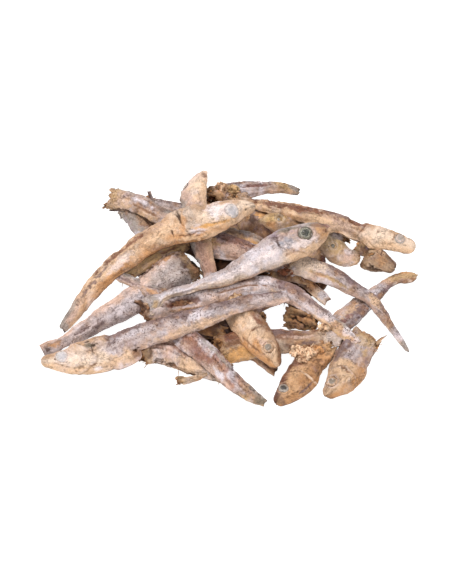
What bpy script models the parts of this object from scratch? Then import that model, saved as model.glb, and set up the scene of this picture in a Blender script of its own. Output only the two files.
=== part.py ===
"""A loose heap of dried anchovies, as it lies when tipped out on a table.

The heap is one solid. Low mounds in its middle are the core, and the fish that show are
fused onto them and onto each other, each at its true size and with few sides. Many fish
are broken, as dried ones are: heads with part of a body, headless bodies and loose tails.

Metres, +Z up. The origin is on the table, under the middle of the heap. +X runs along
the heap's longer side, and the side that it is looked at from faces -Y.
"""

import math
from dataclasses import dataclass

import bmesh
import bpy
from mathutils import Matrix, Vector, noise

# Driving sizes are in millimetres, and angles in degrees. A whole fish is 80 to 105 mm
# long. The places of the fish are on the table, before the heap is centred.
MM = 0.001
HEAP_CENTRE = Vector((2.25, 5.1, 0.0))

# The outline of a whole fish. Each row gives the share of its length from the snout, and
# its half depth above and below its middle line and half width, as shares of its depth.
OUTLINE = (
    (0.00, 0.07, 0.08, 0.06),
    (0.03, 0.21, 0.22, 0.14),
    (0.08, 0.33, 0.35, 0.21),
    (0.14, 0.42, 0.45, 0.26),
    (0.23, 0.49, 0.51, 0.29),
    (0.25, 0.46, 0.48, 0.27),
    (0.34, 0.46, 0.48, 0.26),
    (0.46, 0.43, 0.43, 0.24),
    (0.58, 0.38, 0.37, 0.22),
    (0.70, 0.32, 0.30, 0.18),
    (0.82, 0.26, 0.24, 0.13),
    (0.90, 0.22, 0.21, 0.08),
    (0.95, 0.21, 0.21, 0.05),
    (1.00, 0.15, 0.15, 0.03),
)
GILL = 0.24
HEAD_EASE = 0.2
SLIM_FROM = 0.25
SLIM_AT = 0.82
FIN_FROM = 0.90
FLAP_DROP = 0.78
LEAST_HALF_WIDTH = 0.45

# A fish is a tube of rings. Each ring lies at a share of the length of the whole fish.
RINGS = (0, 0.02, 0.06, 0.11, 0.17, 0.225, 0.245, 0.30, 0.37, 0.44,
         0.52, 0.60, 0.68, 0.76, 0.84, 0.90, 0.95, 1)
LEAST_RING_GAP = 0.018
FRAME_REACH = 0.04
LINE_STEPS = 14

# The eye is a low lens on each side of the head, by shares of the fish's depth.
EYE_RADIUS = 0.19
EYE_RISE = 0.035
EYE_SIDES = 8

# A broken end is ragged round its rim and hollow.
RAGGED = 2.6
HOLLOW = 2.5
SNOUT_CAP = 0.4

# The core's mounds, by their middles and their half sizes. The table cuts them flat where
# they reach it.
MOUNDS = (
    ((-27, 20), (12, 13, 11)),
    ((4, 17), (15, 14, 10)),
    ((32, 14), (13, 12, 9)),
    ((-2, -14), (12, 8, 6)),
)
MOUND_DETAIL = 2
TABLE_HALF = 150

# The heap stands on its flat core and on three fish, which touch the table at one point
# each. What else would reach lower than the gap is pressed almost flat.
TABLE_GAP = 0.9
PRESSED = 0.1

# The dry flesh and skin, a warm grey-brown.
FLESH_COLOUR = (0.50, 0.38, 0.28, 1.0)
FLESH_ROUGHNESS = 0.7

LEFT = 1
RIGHT = -1


@dataclass(frozen=True)
class Fish:
    """One fish, or what is left of one, by the line that runs along its middle."""

    name: str
    line: tuple  # places in mm, from its front end to its rear end
    back: int  # the side of the line on which its back lies, seen from above
    depth: float = 12  # greatest depth of the whole fish, from back to belly, in mm
    share: tuple = (0, 1)  # what is left of a whole fish, from snout 0 to tail 1
    lean: tuple = (20, 20)  # degrees by which its back is lifted, front and rear
    thin: float = 1  # width against a usual fish's
    head: float = 1  # depth of its head against a usual fish's
    slim: float = 1  # depth near the tail against a usual fish's
    fin: float = 1  # spread of the tail fin
    flap: float = 0  # share of the length at which a torn belly stops short
    eye: tuple = (0.085, 0.04)  # share of the length, and share of the depth above the line
    touch: float = 0  # share of the length at which it touches the table, if it does
    sides: int = 10


FISH = (
    Fish(
        "front_left",
        ((-74, -33.5, 3.2), (-62, -33.5, 3.7), (-49, -31.5, 5),
         (-31, -25, 9.5), (-11, -20, 13.5), (8, -15, 16), (25, -10.5, 16.2)),
        back=LEFT,
        depth=12.5,
        lean=(25, 20),
        head=1.12,
        flap=0.39,
        eye=(0.088, 0.03),
        touch=0.17,
    ),
    Fish(
        "long_bent",
        ((-34, -10.5, 6), (-21, -6, 7.8), (-5, -3.5, 9), (10, -0.5, 11),
         (23, -3.5, 12), (32, -10.5, 12), (42, -17.5, 10), (53, -29, 9)),
        back=LEFT,
        depth=11,
        share=(0.22, 1),
    ),
    Fish(
        "centre",
        ((42, 22, 22), (33, 16, 23), (22, 12, 22), (2, 4, 18),
         (-12, -1, 14.5), (-25, -5.5, 11), (-33, -10.5, 9)),
        back=RIGHT,
        depth=14,
        slim=0.72,
        fin=3.2,
        eye=(0.125, 0.08),
    ),
    Fish(
        "top_left",
        ((12, 33.5, 22.5), (0, 28, 23.5), (-12, 23, 23),
         (-26, 20.5, 20), (-41, 13.5, 14), (-54, 4, 7.3), (-66.5, -16, 1.2)),
        back=RIGHT,
        depth=13.5,
        slim=1.05,
        fin=1.4,
        eye=(0.11, -0.02),
    ),
    Fish(
        "top_right",
        ((80, 22, 9.3), (69, 24.5, 11), (57, 27, 13), (45, 32, 15.2), (31, 36, 16), (3, 46, 14.6)),
        back=RIGHT,
        depth=10.5,
        share=(0, 0.95),
        lean=(0, 20),
        eye=(0.085, 0.16),
    ),
    Fish(
        "top_tail",
        ((-6, 51.5, 9.5), (3, 56.5, 8), (13, 60, 6.3), (23, 62.8, 4.5), (31.5, 62.5, 2)),
        back=LEFT,
        depth=9.5,
        share=(0.45, 1),
    ),
    Fish(
        "upright",
        ((-10, 60, 15.5), (-14, 48.5, 16.5), (-13, 34, 17), (-10, 20, 14.3), (-5, 1, 8)),
        back=RIGHT,
        depth=13,
        share=(0, 0.9),
        slim=0.8,
        lean=(-40, -20),
    ),
    Fish(
        "stump",
        ((-48.5, 52, 6.5), (-38, 45.5, 10), (-28, 37.5, 12.8), (-17, 29.5, 12.8)),
        back=LEFT,
        depth=10.5,
        share=(0.3, 0.75),
    ),
    Fish(
        "ridge",
        ((-34, 50.5, 6), (-28, 47.5, 7.5), (-17, 43.5, 9.5), (-4, 39.5, 9)),
        back=LEFT,
        depth=9,
        share=(0.35, 0.85),
        sides=8,
    ),
    Fish(
        "under_stump",
        ((-42.5, 51, 3), (-38.5, 43, 3.5), (-32.5, 32, 4.5), (-25, 21, 5.5)),
        back=RIGHT,
        share=(0.15, 0.65),
        touch=0.245,
        sides=8,
    ),
    Fish(
        "left",
        ((-16, 13, 10), (-24, 8, 9.5), (-36, -1.5, 6),
         (-51, -12, 3.6), (-63, -20.5, 2.3), (-75, -27.5, 1.8)),
        back=LEFT,
        depth=15,
        share=(0.15, 1),
        slim=0.85,
        lean=(-20, -20),
    ),
    Fish(
        "crossing",
        ((-27, -3.5, 8.5), (-32, -1.5, 9.5), (-39, 3, 10), (-47, 9, 8.5)),
        back=RIGHT,
        depth=10,
        share=(0.5, 1),
    ),
    Fish(
        "middle",
        ((-16, 33, 10.5), (-5, 22, 12.5), (8, 17, 12.5),
         (18, 12, 12), (29, 7, 10.5), (36, 2, 7.5), (42, -3, 4.5)),
        back=LEFT,
        share=(0.1, 1),
    ),
    Fish(
        "yellow",
        ((15, 34, 12.5), (25, 33, 12), (38, 33, 9.5), (52, 32, 5.5)),
        back=LEFT,
        depth=9.5,
        share=(0, 0.9),
    ),
    Fish(
        "pink",
        ((38.5, 23, 15.5), (45, 18.5, 13.5), (51, 17, 10.5), (57, 17.5, 9)),
        back=LEFT,
        depth=10.5,
        share=(0, 0.42),
        slim=0.4,
        eye=(0.1, 0.0),
    ),
    Fish(
        "right_tail",
        ((24, 7, 15), (35, 7, 14), (45, 3.5, 12), (52, 0, 9.3),
         (60, -4.3, 7), (67, -14, 3.7), (74, -25.5, 0.9)),
        back=LEFT,
        depth=10,
        share=(0.2, 1),
        slim=0.8,
    ),
    Fish(
        "tail_up",
        ((43, -22.5, 5.3), (49, -12.5, 4), (56, -4.5, 3.5),
         (63, 3, 3), (71, 10, 2.5), (79, 12, 2.5)),
        back=RIGHT,
        depth=11,
        share=(0.2, 1),
        lean=(-10, 10),
        touch=0.95,
    ),
    Fish(
        "right_head",
        ((39.5, -50, 4), (44, -45, 4.5), (48.5, -38, 4.5), (52, -32, 5.5), (57, -24, 6.5)),
        back=LEFT,
        depth=15,
        share=(0, 0.5),
        lean=(10, 10),
        eye=(0.085, 0.08),
    ),
    Fish(
        "mid_head",
        ((20, -54, 3.2), (25, -48, 4.1), (29, -42, 4.1), (34, -35, 4.7), (40, -28, 5.2)),
        back=LEFT,
        depth=14,
        share=(0, 0.45),
        lean=(10, 10),
        eye=(0.09, 0.08),
    ),
    Fish(
        "down_head",
        ((20, -37.4, 7), (17, -32.4, 9), (13, -26.4, 10), (9, -20, 10.5), (5, -12, 9.5)),
        back=RIGHT,
        depth=14,
        share=(0, 0.45),
        eye=(0.09, 0.06),
    ),
    Fish(
        "low_tail",
        ((-3, -30, 5), (8, -27, 5.3), (20, -25.5, 6.3),
         (30, -26.3, 7.6), (39, -25.5, 8.3), (47, -26.7, 8)),
        back=LEFT,
        depth=12,
        share=(0.25, 1),
        slim=0.7,
    ),
    Fish(
        "dark_tail",
        ((6, -26, 3.5), (12, -30, 3.5), (20, -39, 3)),
        back=LEFT,
        depth=12,
        share=(0.7, 1),
    ),
    Fish(
        "bottom_torn",
        ((-34, -27.5, 3.6), (-24, -29.5, 3.6), (-13, -33.5, 3.6), (-2, -36, 3.5)),
        back=LEFT,
        depth=12,
        share=(0.25, 0.7),
    ),
    Fish(
        "diagonal",
        ((-20, -21, 7.5), (-14, -28, 8.5), (-6, -36, 8.5),
         (1, -43, 5.5), (8, -48.5, 2.4), (15.5, -53, 1.2)),
        back=LEFT,
        depth=10.5,
        share=(0.3, 1),
    ),
    Fish(
        "round_stump",
        ((73, 14.5, 5.5), (64, 19, 6), (54, 24, 6.5)),
        back=RIGHT,
        depth=12,
        share=(0.1, 0.45),
        thin=1.7,
    ),
    Fish(
        "curled",
        ((26, -11.5, 5.8), (31, -13.5, 6.2), (38, -16, 6.2)),
        back=LEFT,
        depth=11,
        share=(0.3, 0.6),
        thin=1.5,
    ),
    Fish(
        "under_join",
        ((7, -12.5, 7.8), (15, -8, 8.3), (24, -5, 8.6)),
        back=LEFT,
        depth=8,
        share=(0.4, 0.9),
        sides=8,
    ),
    Fish(
        "dark_hollow",
        ((-16, -16, 3.5), (-6, -17, 5), (4, -16, 5), (14, -16, 4)),
        back=LEFT,
        share=(0.3, 0.8),
        sides=8,
    ),
    Fish(
        "back_low",
        ((-22, 44, 3.5), (-4, 49, 5), (16, 50, 4.5), (34, 50, 3.5), (50, 44, 2.5)),
        back=RIGHT,
        depth=11,
        share=(0.1, 0.95),
        sides=8,
    ),
    Fish(
        "back_inner",
        ((-38, 27, 3.5), (-22, 33, 4), (-4, 38, 5), (14, 38, 6)),
        back=LEFT,
        share=(0.1, 0.75),
        sides=8,
    ),
    Fish(
        "cross_right",
        ((32, 44, 3), (37, 28, 5), (38, 14, 6), (38, 8, 6)),
        back=LEFT,
        share=(0.2, 0.85),
        sides=8,
    ),
    Fish(
        "cross_middle",
        ((6, 50, 9), (10, 38, 10), (18, 24, 8), (26, 12, 6)),
        back=LEFT,
        share=(0.1, 0.7),
        sides=8,
    ),
)


def eased(share, start, end):
    """0 before the start, 1 after the end, and straight between them."""
    return min(max((share - start) / (end - start), 0.0), 1.0)


def between(rows, share):
    """The values of a table of rows at a share, from the two rows round it."""
    for low, high in zip(rows, rows[1:]):
        if share <= high[0]:
            part = eased(share, low[0], high[0])
            return [a + (b - a) * part for a, b in zip(low[1:], high[1:])]
    return list(rows[-1][1:])


def smooth_line(places):
    """Short steps along a smooth curve through the places."""
    points = [Vector(place) for place in places]
    points = [2 * points[0] - points[1], *points, 2 * points[-1] - points[-2]]
    steps = []
    for before, start, end, after in zip(points, points[1:], points[2:], points[3:]):
        for step in range(LINE_STEPS):
            t = step / LINE_STEPS
            straight = 2 * start + (end - before) * t
            bend = (2 * before - 5 * start + 4 * end - after) * t**2
            twist = (3 * start - 3 * end + after - before) * t**3
            steps.append((straight + bend + twist) / 2)
    return [*steps, points[-2]]


class Path:
    """The middle line of a fish, with the fish's own directions all along it."""

    def __init__(self, fish):
        self.fish = fish
        self.steps = smooth_line(fish.line)
        self.far = [0.0]
        for a, b in zip(self.steps, self.steps[1:]):
            self.far.append(self.far[-1] + (b - a).length)

    def part(self, share):
        """How far along the line a share of the whole fish lies, from 0 to 1."""
        start, end = self.fish.share
        return (share - start) / (end - start)

    def place(self, part):
        """The point at a part of the line, and straight on beyond its ends."""
        wanted = part * self.far[-1]
        last = len(self.steps) - 2
        found = next((i for i in range(last) if self.far[i + 1] > wanted), last)
        a, b = self.steps[found], self.steps[found + 1]
        return a + (b - a) * ((wanted - self.far[found]) / (self.far[found + 1] - self.far[found]))

    def frame(self, part):
        """Directions along the fish, to its back, and out of the side that faces up."""
        along = (self.place(part + FRAME_REACH) - self.place(part - FRAME_REACH)).normalized()
        up = (Vector((0, 0, 1)) - along * along.z).normalized()
        flat = up.cross(along) * self.fish.back
        front, rear = self.fish.lean
        lean = math.radians(front + (rear - front) * eased(part, 0, 1))
        back = flat * math.cos(lean) + up * math.sin(lean)
        side = up * math.cos(lean) - flat * math.sin(lean)
        return along, back, side


def half_sizes(fish, share):
    """Half depth above and below the line, and half width, in mm."""
    above, below, wide = between(OUTLINE, share)
    back = 1 + (fish.head - 1) * (1 - eased(share, GILL, GILL + HEAD_EASE))
    belly = back
    if fish.flap and GILL < share <= fish.flap:
        belly = fish.head
    elif fish.flap and fish.flap < share:
        belly = FLAP_DROP + (1 - FLAP_DROP) * eased(share, fish.flap, 1)
    rear = 1 + (fish.slim - 1) * eased(share, SLIM_FROM, SLIM_AT)
    rear *= 1 + (fish.fin - 1) * eased(share, FIN_FROM, 1)
    wide = max(wide * fish.depth * fish.thin, LEAST_HALF_WIDTH)
    return above * back * rear * fish.depth, below * belly * rear * fish.depth, wide


def ring_shares(fish):
    """The shares of the whole fish at which its rings lie."""
    start, end = fish.share
    wanted = [start, end]
    if fish.flap:
        wanted += [fish.flap, fish.flap + LEAST_RING_GAP]
    for share in RINGS:
        if start < share < end and all(abs(share - other) > LEAST_RING_GAP for other in wanted):
            wanted.append(share)
    return sorted(wanted)


def clear_of_table(points):
    """Presses what lies lower than the gap almost flat, close to the table's top."""
    for point in points:
        if point.z < TABLE_GAP:
            point.z = TABLE_GAP + (point.z - TABLE_GAP) * PRESSED


def close_rings(mesh, rings, first, last):
    """Skins the rings, and closes each end towards its own middle point."""
    for ring, following in zip(rings, rings[1:]):
        for i, vert in enumerate(ring):
            j = (i + 1) % len(ring)
            mesh.faces.new((vert, ring[j], following[j], following[i]))
    for ring, middle in ((rings[0], first), (rings[-1], last)):
        tip = mesh.verts.new(middle)
        for i, vert in enumerate(ring):
            mesh.faces.new((vert, ring[(i + 1) % len(ring)], tip))
    bmesh.ops.recalc_face_normals(mesh, faces=mesh.faces[:])


def fish_body(fish):
    """The closed tube of a fish, with a ragged and hollow end where it is broken."""
    path = Path(fish)
    start, end = fish.share
    broken_front = start > 0
    broken_rear = end < 1
    mesh = bmesh.new()
    rings = []
    shares = ring_shares(fish)
    for share in shares:
        part = path.part(share)
        along, back, side = path.frame(part)
        above, below, wide = half_sizes(fish, share)
        torn = (share == start and broken_front) or (share == end and broken_rear)
        ring = []
        for i in range(fish.sides):
            angle = math.tau * i / fish.sides
            rise, out = math.cos(angle), math.sin(angle)
            point = path.place(part) + back * rise * (above if rise > 0 else below) + side * out * wide
            if torn:
                point += along * RAGGED * noise.noise(point)
            ring.append(mesh.verts.new(point))
        rings.append(ring)
    front = path.place(0) + path.frame(0)[0] * (HOLLOW if broken_front else -SNOUT_CAP)
    rear = path.place(1) - path.frame(1)[0] * (HOLLOW if broken_rear else -SNOUT_CAP)
    close_rings(mesh, rings, front, rear)
    clear_of_table(vert.co for vert in mesh.verts)
    if fish.touch:
        lowest = min(rings[shares.index(fish.touch)], key=lambda vert: vert.co.z)
        lowest.co.z = 0
    return mesh


def fish_eye(fish, facing):
    """A low lens that stands out of one side of the head, 1 for the side that faces up."""
    path = Path(fish)
    share, rise = fish.eye
    part = path.part(share)
    along, back, side = path.frame(part)
    wide = half_sizes(fish, share)[2]
    radius = EYE_RADIUS * fish.depth
    out = side * facing
    centre = path.place(part) + back * rise * fish.depth
    mesh = bmesh.new()
    rings = []
    for size, height in ((1.0, 0.3 * wide), (1.0, 0.75 * wide), (0.6, wide + EYE_RISE * fish.depth)):
        ring = []
        for i in range(EYE_SIDES):
            turn = math.tau * i / EYE_SIDES
            rim = (along * math.cos(turn) + back * math.sin(turn)) * radius * size
            ring.append(mesh.verts.new(centre + rim + out * height))
        rings.append(ring)
    close_rings(mesh, rings, centre + out * 0.3 * wide, centre + out * (wide + EYE_RISE * fish.depth))
    return mesh


def mound(middle, half):
    """A low round mound of the core, whose lower half lies under the table's top."""
    mesh = bmesh.new()
    bmesh.ops.create_icosphere(mesh, subdivisions=MOUND_DETAIL, radius=1)
    bmesh.ops.scale(mesh, vec=half, verts=mesh.verts)
    bmesh.ops.translate(mesh, vec=(*middle, 0), verts=mesh.verts)
    return mesh


def below_table():
    """The space under the table's top, which cuts the heap's underside flat."""
    mesh = bmesh.new()
    bmesh.ops.create_cube(mesh, size=2 * TABLE_HALF)
    bmesh.ops.translate(mesh, vec=(0, 0, -TABLE_HALF), verts=mesh.verts)
    return mesh


def add_piece(name, mesh, collection):
    """An object made from a mesh in mm, moved to the heap's middle and put in metres."""
    to_metres = Matrix.Scale(MM, 4) @ Matrix.Translation(-HEAP_CENTRE)
    bmesh.ops.transform(mesh, matrix=to_metres, verts=mesh.verts)
    data = bpy.data.meshes.new(name)
    mesh.to_mesh(data)
    mesh.free()
    piece = bpy.data.objects.new(name, data)
    collection.objects.link(piece)
    return piece


def apply_boolean(target, operation, collection):
    """Joins or cuts the target by all the objects of a collection, which it then removes.

    EXACT leaves open edges where so many tubes cross, so this uses MANIFOLD, and every
    piece is closed.
    """
    boolean = target.modifiers.new(operation.lower(), "BOOLEAN")
    boolean.operation = operation
    boolean.operand_type = "COLLECTION"
    boolean.collection = collection
    boolean.solver = "MANIFOLD"
    evaluated = target.evaluated_get(bpy.context.evaluated_depsgraph_get())
    result = bpy.data.meshes.new_from_object(evaluated)
    target.modifiers.clear()
    target.data = result
    for piece in list(collection.objects):
        bpy.data.objects.remove(piece)
    bpy.data.collections.remove(collection)


def new_collection(name):
    """A collection of the scene's own, for the pieces of one Boolean."""
    collection = bpy.data.collections.new(name)
    bpy.context.scene.collection.children.link(collection)
    return collection


def faces_joined_to(face):
    """All the faces that hang together with a face."""
    found = {face}
    edge_of_search = [face]
    while edge_of_search:
        for edge in edge_of_search.pop().edges:
            for near in edge.link_faces:
                if near not in found:
                    found.add(near)
                    edge_of_search.append(near)
    return found


def keep_outer_skin(target):
    """Drops loose scraps, and fills sealed hollows by dropping the skins round them."""
    mesh = bmesh.new()
    mesh.from_mesh(target.data)
    widest = max(mesh.verts, key=lambda vert: vert.co.x)
    outer = faces_joined_to(widest.link_faces[0])
    others = [face for face in mesh.faces if face not in outer]
    bmesh.ops.delete(mesh, geom=others, context="FACES")
    mesh.to_mesh(target.data)
    mesh.free()


def flesh_material():
    """Dry skin and flesh."""
    material = bpy.data.materials.new("dried_fish")
    material.use_nodes = True
    shader = material.node_tree.nodes["Principled BSDF"]
    shader.inputs["Base Color"].default_value = FLESH_COLOUR
    shader.inputs["Roughness"].default_value = FLESH_ROUGHNESS
    shader.inputs["Metallic"].default_value = 0.0
    return material


def build_heap():
    """The whole heap as one object."""
    heap = add_piece("anchovy_heap", mound(*MOUNDS[0]), bpy.context.scene.collection)
    pieces = new_collection("pieces")
    for i, (middle, half) in enumerate(MOUNDS[1:]):
        raised = mound(middle, half)
        clear_of_table(vert.co for vert in raised.verts)
        add_piece(f"mound_{i + 1}", raised, pieces)
    for fish in FISH:
        add_piece(fish.name, fish_body(fish), pieces)
        if fish.share[0] == 0:
            for facing in (1, -1):
                add_piece(f"{fish.name}_eye", fish_eye(fish, facing), pieces)
    apply_boolean(heap, "UNION", pieces)
    table = new_collection("table")
    add_piece("below_table", below_table(), table)
    apply_boolean(heap, "DIFFERENCE", table)
    keep_outer_skin(heap)
    heap.data.materials.clear()
    heap.data.materials.append(flesh_material())
    heap.data.name = heap.name


for old in list(bpy.data.objects):
    bpy.data.objects.remove(old)
build_heap()
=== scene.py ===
import math
from dataclasses import dataclass

import bpy
import numpy as np
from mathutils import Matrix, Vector


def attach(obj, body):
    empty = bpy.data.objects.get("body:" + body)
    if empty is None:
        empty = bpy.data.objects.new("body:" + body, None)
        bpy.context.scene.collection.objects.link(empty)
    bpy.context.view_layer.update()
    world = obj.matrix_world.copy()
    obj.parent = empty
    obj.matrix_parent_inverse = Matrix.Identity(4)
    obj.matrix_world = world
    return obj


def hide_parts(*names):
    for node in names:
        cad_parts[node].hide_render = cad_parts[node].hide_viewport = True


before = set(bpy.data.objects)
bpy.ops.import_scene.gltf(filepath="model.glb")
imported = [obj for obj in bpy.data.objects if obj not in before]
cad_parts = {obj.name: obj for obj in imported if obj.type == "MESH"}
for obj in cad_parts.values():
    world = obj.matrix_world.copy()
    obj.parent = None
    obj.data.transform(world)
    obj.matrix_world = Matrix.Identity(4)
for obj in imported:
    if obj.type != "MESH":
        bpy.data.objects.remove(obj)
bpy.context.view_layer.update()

# The hidden middle of the heap: fish broken so small that they have no shape left.
# They are crumbs of dry flesh, packed in low mounds that the fish lie on; their near-black browns are
# partly painted shade for the gaps between the fish.
MM = 0.001
HEAP_CENTRE = np.array((2.25, 5.1, 0.0))  # mm, in the measure that the fish are laid by
TABLE_CLEARANCE = 0.06
CRUMB_MOUNDS = (  # the middle of each in mm, and its half sizes
    ((-29, 19.5), (9.5, 11, 9)),
    ((4, 17), (14, 13, 9)),
    ((32, 14), (12, 11, 8)),
    ((-3, -16), (11, 8.5, 5)),
)
MOUND_RINGS = 34
MOUND_SIDES = 84
CRUMB_SIZE = 1.6
CRUMB_RELIEF = 0.54
CORE_COLOURS_AND_SHADE = ((36, 21, 13), (70, 43, 26), (106, 72, 46))

# Uneven values: numbers that scatter them, how each finer layer is turned, and how much
# smaller and how far off it is.
SCATTER = (73856093, 19349663, 83492791)
LAYER_TURN = np.array(((0.8, 0.6, 0), (-0.48, 0.64, 0.6), (0.36, -0.48, 0.8)))
LAYER_FINER = 2.03
LAYER_SHIFT = 17.3


def dye(rgb):
    """A colour as it looks, from 0 to 255, turned into light."""
    seen = np.asarray(rgb, float) / 255
    return np.where(seen > 0.04045, ((seen + 0.055) / 1.055) ** 2.4, seen / 12.92)


def noise(places, seed):
    """Smooth random values from -1 to 1, one for each place, a unit apart."""
    cell = np.floor(places).astype(np.int64)
    inside = places - cell
    ease = inside * inside * (3 - 2 * inside)
    total = np.zeros(places.shape[:-1])
    for corner in np.ndindex(2, 2, 2):
        x, y, z = np.moveaxis((cell + corner) * SCATTER, -1, 0)
        code = x ^ y ^ z ^ (seed * 40503 + 977)
        code = (code ^ (code >> 13)) * 1274126177
        value = ((code ^ (code >> 16)) & 0xFFFF) / 32767.5 - 1
        total += value * np.where(corner, ease, 1 - ease).prod(-1)
    return total


def rough(places, size, seed, layers=3):
    """Uneven values of a size in mm, with finer ones laid over them."""
    total = np.zeros(places.shape[:-1])
    for layer in range(layers):
        scale = size / LAYER_FINER**layer
        total += noise(places @ LAYER_TURN / scale + LAYER_SHIFT * layer, seed + layer) / 2**layer
    return total


def ramp(values, low, high):
    """0 below the low value, 1 above the high one, and eased between them."""
    share = np.clip((values - low) / (high - low), 0, 1)
    return share * share * (3 - 2 * share)


def mixed(under, over, amount):
    """One colour laid over another by an amount."""
    amount = np.asarray(amount)[..., None]
    return under * (1 - amount) + np.asarray(over) * amount


def ball_rings(tilts, sides):
    """Places on a ball of radius 1, in rings at some tilts from its top."""
    tilt = np.asarray(tilts)[:, None]
    turn = (math.tau * np.arange(sides) / sides)[None, :]
    parts = (np.sin(tilt) * np.cos(turn), np.sin(tilt) * np.sin(turn), np.cos(tilt))
    return np.stack(np.broadcast_arrays(*parts), -1)


def tube_faces(rings, sides):
    """Quads between rings of points, and a fan to one point at each end."""
    index = np.arange(rings * sides).reshape(rings, sides)
    after = np.roll(index, -1, 1)
    quads = np.stack((index[:-1], after[:-1], after[1:], index[1:]), -1).reshape(-1, 4).tolist()
    front, rear = rings * sides, rings * sides + 1
    fans = [(after[0, i], index[0, i], front) for i in range(sides)]
    fans += [(index[-1, i], after[-1, i], rear) for i in range(sides)]
    return quads + [tuple(int(v) for v in fan) for fan in fans]


def closed(rings, front, rear):
    """Rings with a point at each end as one closed shape, its faces turned outwards."""
    places = np.vstack((rings.reshape(-1, 3), front, rear))
    faces = tube_faces(*rings.shape[:2])
    a, b, c = np.moveaxis(places[np.array([face[:3] for face in faces])] - places.mean(0), 1, 0)
    inside_out = (a * np.cross(b, c)).sum() < 0
    return places, [face[::-1] for face in faces] if inside_out else faces


def joined(shapes):
    """Closed shapes as one set of places and faces, and of colours if they have them."""
    places, faces, *colours = zip(*shapes)
    firsts = np.cumsum([0, *map(len, places)]).tolist()
    faces = [tuple(first + i for i in face) for first, own in zip(firsts, faces) for face in own]
    return np.vstack(places), faces, *map(np.vstack, colours)


def make_piece(name, shape, material, extras=()):
    """A mesh object from places in mm on the table, faces, and a colour for each place."""
    places, faces, colours = shape
    places = np.array(places, float)
    places[:, 2] = np.maximum(places[:, 2], TABLE_CLEARANCE)
    mesh = bpy.data.meshes.new(name)
    mesh.from_pydata(((places - HEAP_CENTRE) * MM).tolist(), [], faces)
    tint = mesh.attributes.new("tint", "FLOAT_COLOR", "POINT")
    tint.data.foreach_set("color", np.c_[np.clip(colours, 0, 1), np.ones(len(places))].ravel())
    for key, values in extras:
        kind, field = ("FLOAT_VECTOR", "vector") if values.ndim > 1 else ("FLOAT", "value")
        mesh.attributes.new(key, kind, "POINT").data.foreach_set(field, values.ravel())
    mesh.materials.append(material)
    mesh.shade_smooth()
    mesh.update()
    piece = bpy.data.objects.new(name, mesh)
    bpy.context.scene.collection.objects.link(piece)
    return piece


def put_in_heap(piece):
    """Puts a finished piece under the root body, and hides the heap's part from model.glb."""
    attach(piece, "root")
    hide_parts("anchovy_heap")


class NodeTree:
    """A node tree, and a short way to add a node to it with its inputs joined or set."""

    def __init__(self, tree):
        self.tree = tree

    def add(self, kind, inputs=None, **settings):
        node = self.tree.nodes.new(kind)
        for key, value in settings.items():
            setattr(node, key, value)
        for key, value in (inputs or {}).items():
            if isinstance(value, bpy.types.NodeSocket):
                self.tree.links.new(value, node.inputs[key])
            else:
                node.inputs[key].default_value = value
        return node


class Finish(NodeTree):
    """A new material, with the kinds of node that the finishes of the heap are mixed from."""

    def __init__(self, name, roughness, specular=0.5):
        self.material = bpy.data.materials.new(name)
        self.material.use_nodes = True
        super().__init__(self.material.node_tree)
        self.shader = self.tree.nodes["Principled BSDF"]
        self.shader.inputs["Roughness"].default_value = roughness
        self.shader.inputs["Specular IOR Level"].default_value = specular

    def place(self):
        return self.add("ShaderNodeTexCoord").outputs["Object"]

    def read(self, name, output="Fac"):
        return self.add("ShaderNodeAttribute", attribute_name=name).outputs[output]

    def noise(self, vector, scale, detail=3.0, rough=0.6):
        inputs = {"Vector": vector, "Scale": scale, "Detail": detail, "Roughness": rough}
        return self.add("ShaderNodeTexNoise", inputs).outputs["Fac"]

    def maths(self, operation, a, b):
        return self.add("ShaderNodeMath", {0: a, 1: b}, operation=operation).outputs[0]

    def span(self, value, low, high, to_low=0.0, to_high=1.0):
        inputs = {"Value": value, "From Min": low, "From Max": high,
                  "To Min": to_low, "To Max": to_high}
        return self.add("ShaderNodeMapRange", inputs).outputs["Result"]

    def mix(self, amount, under, over, blend="MIX"):
        inputs = {0: amount, 6: under, 7: over}
        return self.add("ShaderNodeMix", inputs, data_type="RGBA", blend_type=blend).outputs[2]

    def vary(self, colour, value, low, high, darkest, lightest):
        """The colour, darker where a value is low and lighter where it is high."""
        return self.mix(1.0, colour, self.span(value, low, high, darkest, lightest), "MULTIPLY")

    def finish(self, colour, height, bump_mm, strength=1.0):
        """Joins the colour and a bump of some depth to the shader."""
        inputs = {"Height": height, "Distance": bump_mm * MM, "Strength": strength}
        bump = self.add("ShaderNodeBump", inputs)
        self.tree.links.new(bump.outputs[0], self.shader.inputs["Normal"])
        self.tree.links.new(colour, self.shader.inputs["Base Color"])
        return self.material


def crumb_material():
    """Dark crumbled flesh: its own colour, broken by grains, on a coarse matt surface."""
    nodes = Finish("dark_crumbs", 0.85, 0.2)
    place = nodes.place()
    grains = nodes.noise(place, 1500.0, 5.0)
    patches = nodes.noise(place, 520.0, 1.0)
    colour = nodes.vary(nodes.read("tint", "Color"), grains, 0.3, 0.7, 0.6, 1.25)
    colour = nodes.vary(colour, patches, 0.35, 0.65, 0.6, 1.4)
    return nodes.finish(colour, grains, 0.35)


def crumb_mounds():
    """Closed half-buried mounds with a crumbly surface, as places, faces and colours."""
    ball = ball_rings(math.pi * np.arange(1, MOUND_RINGS) / MOUND_RINGS, MOUND_SIDES)
    shapes = []
    for middle, half in CRUMB_MOUNDS:
        middle, top = np.array((*middle, 0)), np.array((0, 0, half[2]))
        shapes.append(closed(middle + ball * half, middle + top, middle - top))
    places, faces = joined(shapes)
    grain = rough(places, CRUMB_SIZE, 3, 3)
    places = places + np.sign(places - places.mean(0)) * grain[:, None] * CRUMB_RELIEF
    dark, middle, light = (dye(colour) for colour in CORE_COLOURS_AND_SHADE)
    # Painted shade and light: the crumbs are darker in the mounds' dips and lighter on their bumps.
    colours = mixed(mixed(dark, middle, ramp(grain, -0.6, 0.3)), light, ramp(grain, 0.4, 1.1))
    return places, faces, colours


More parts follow.
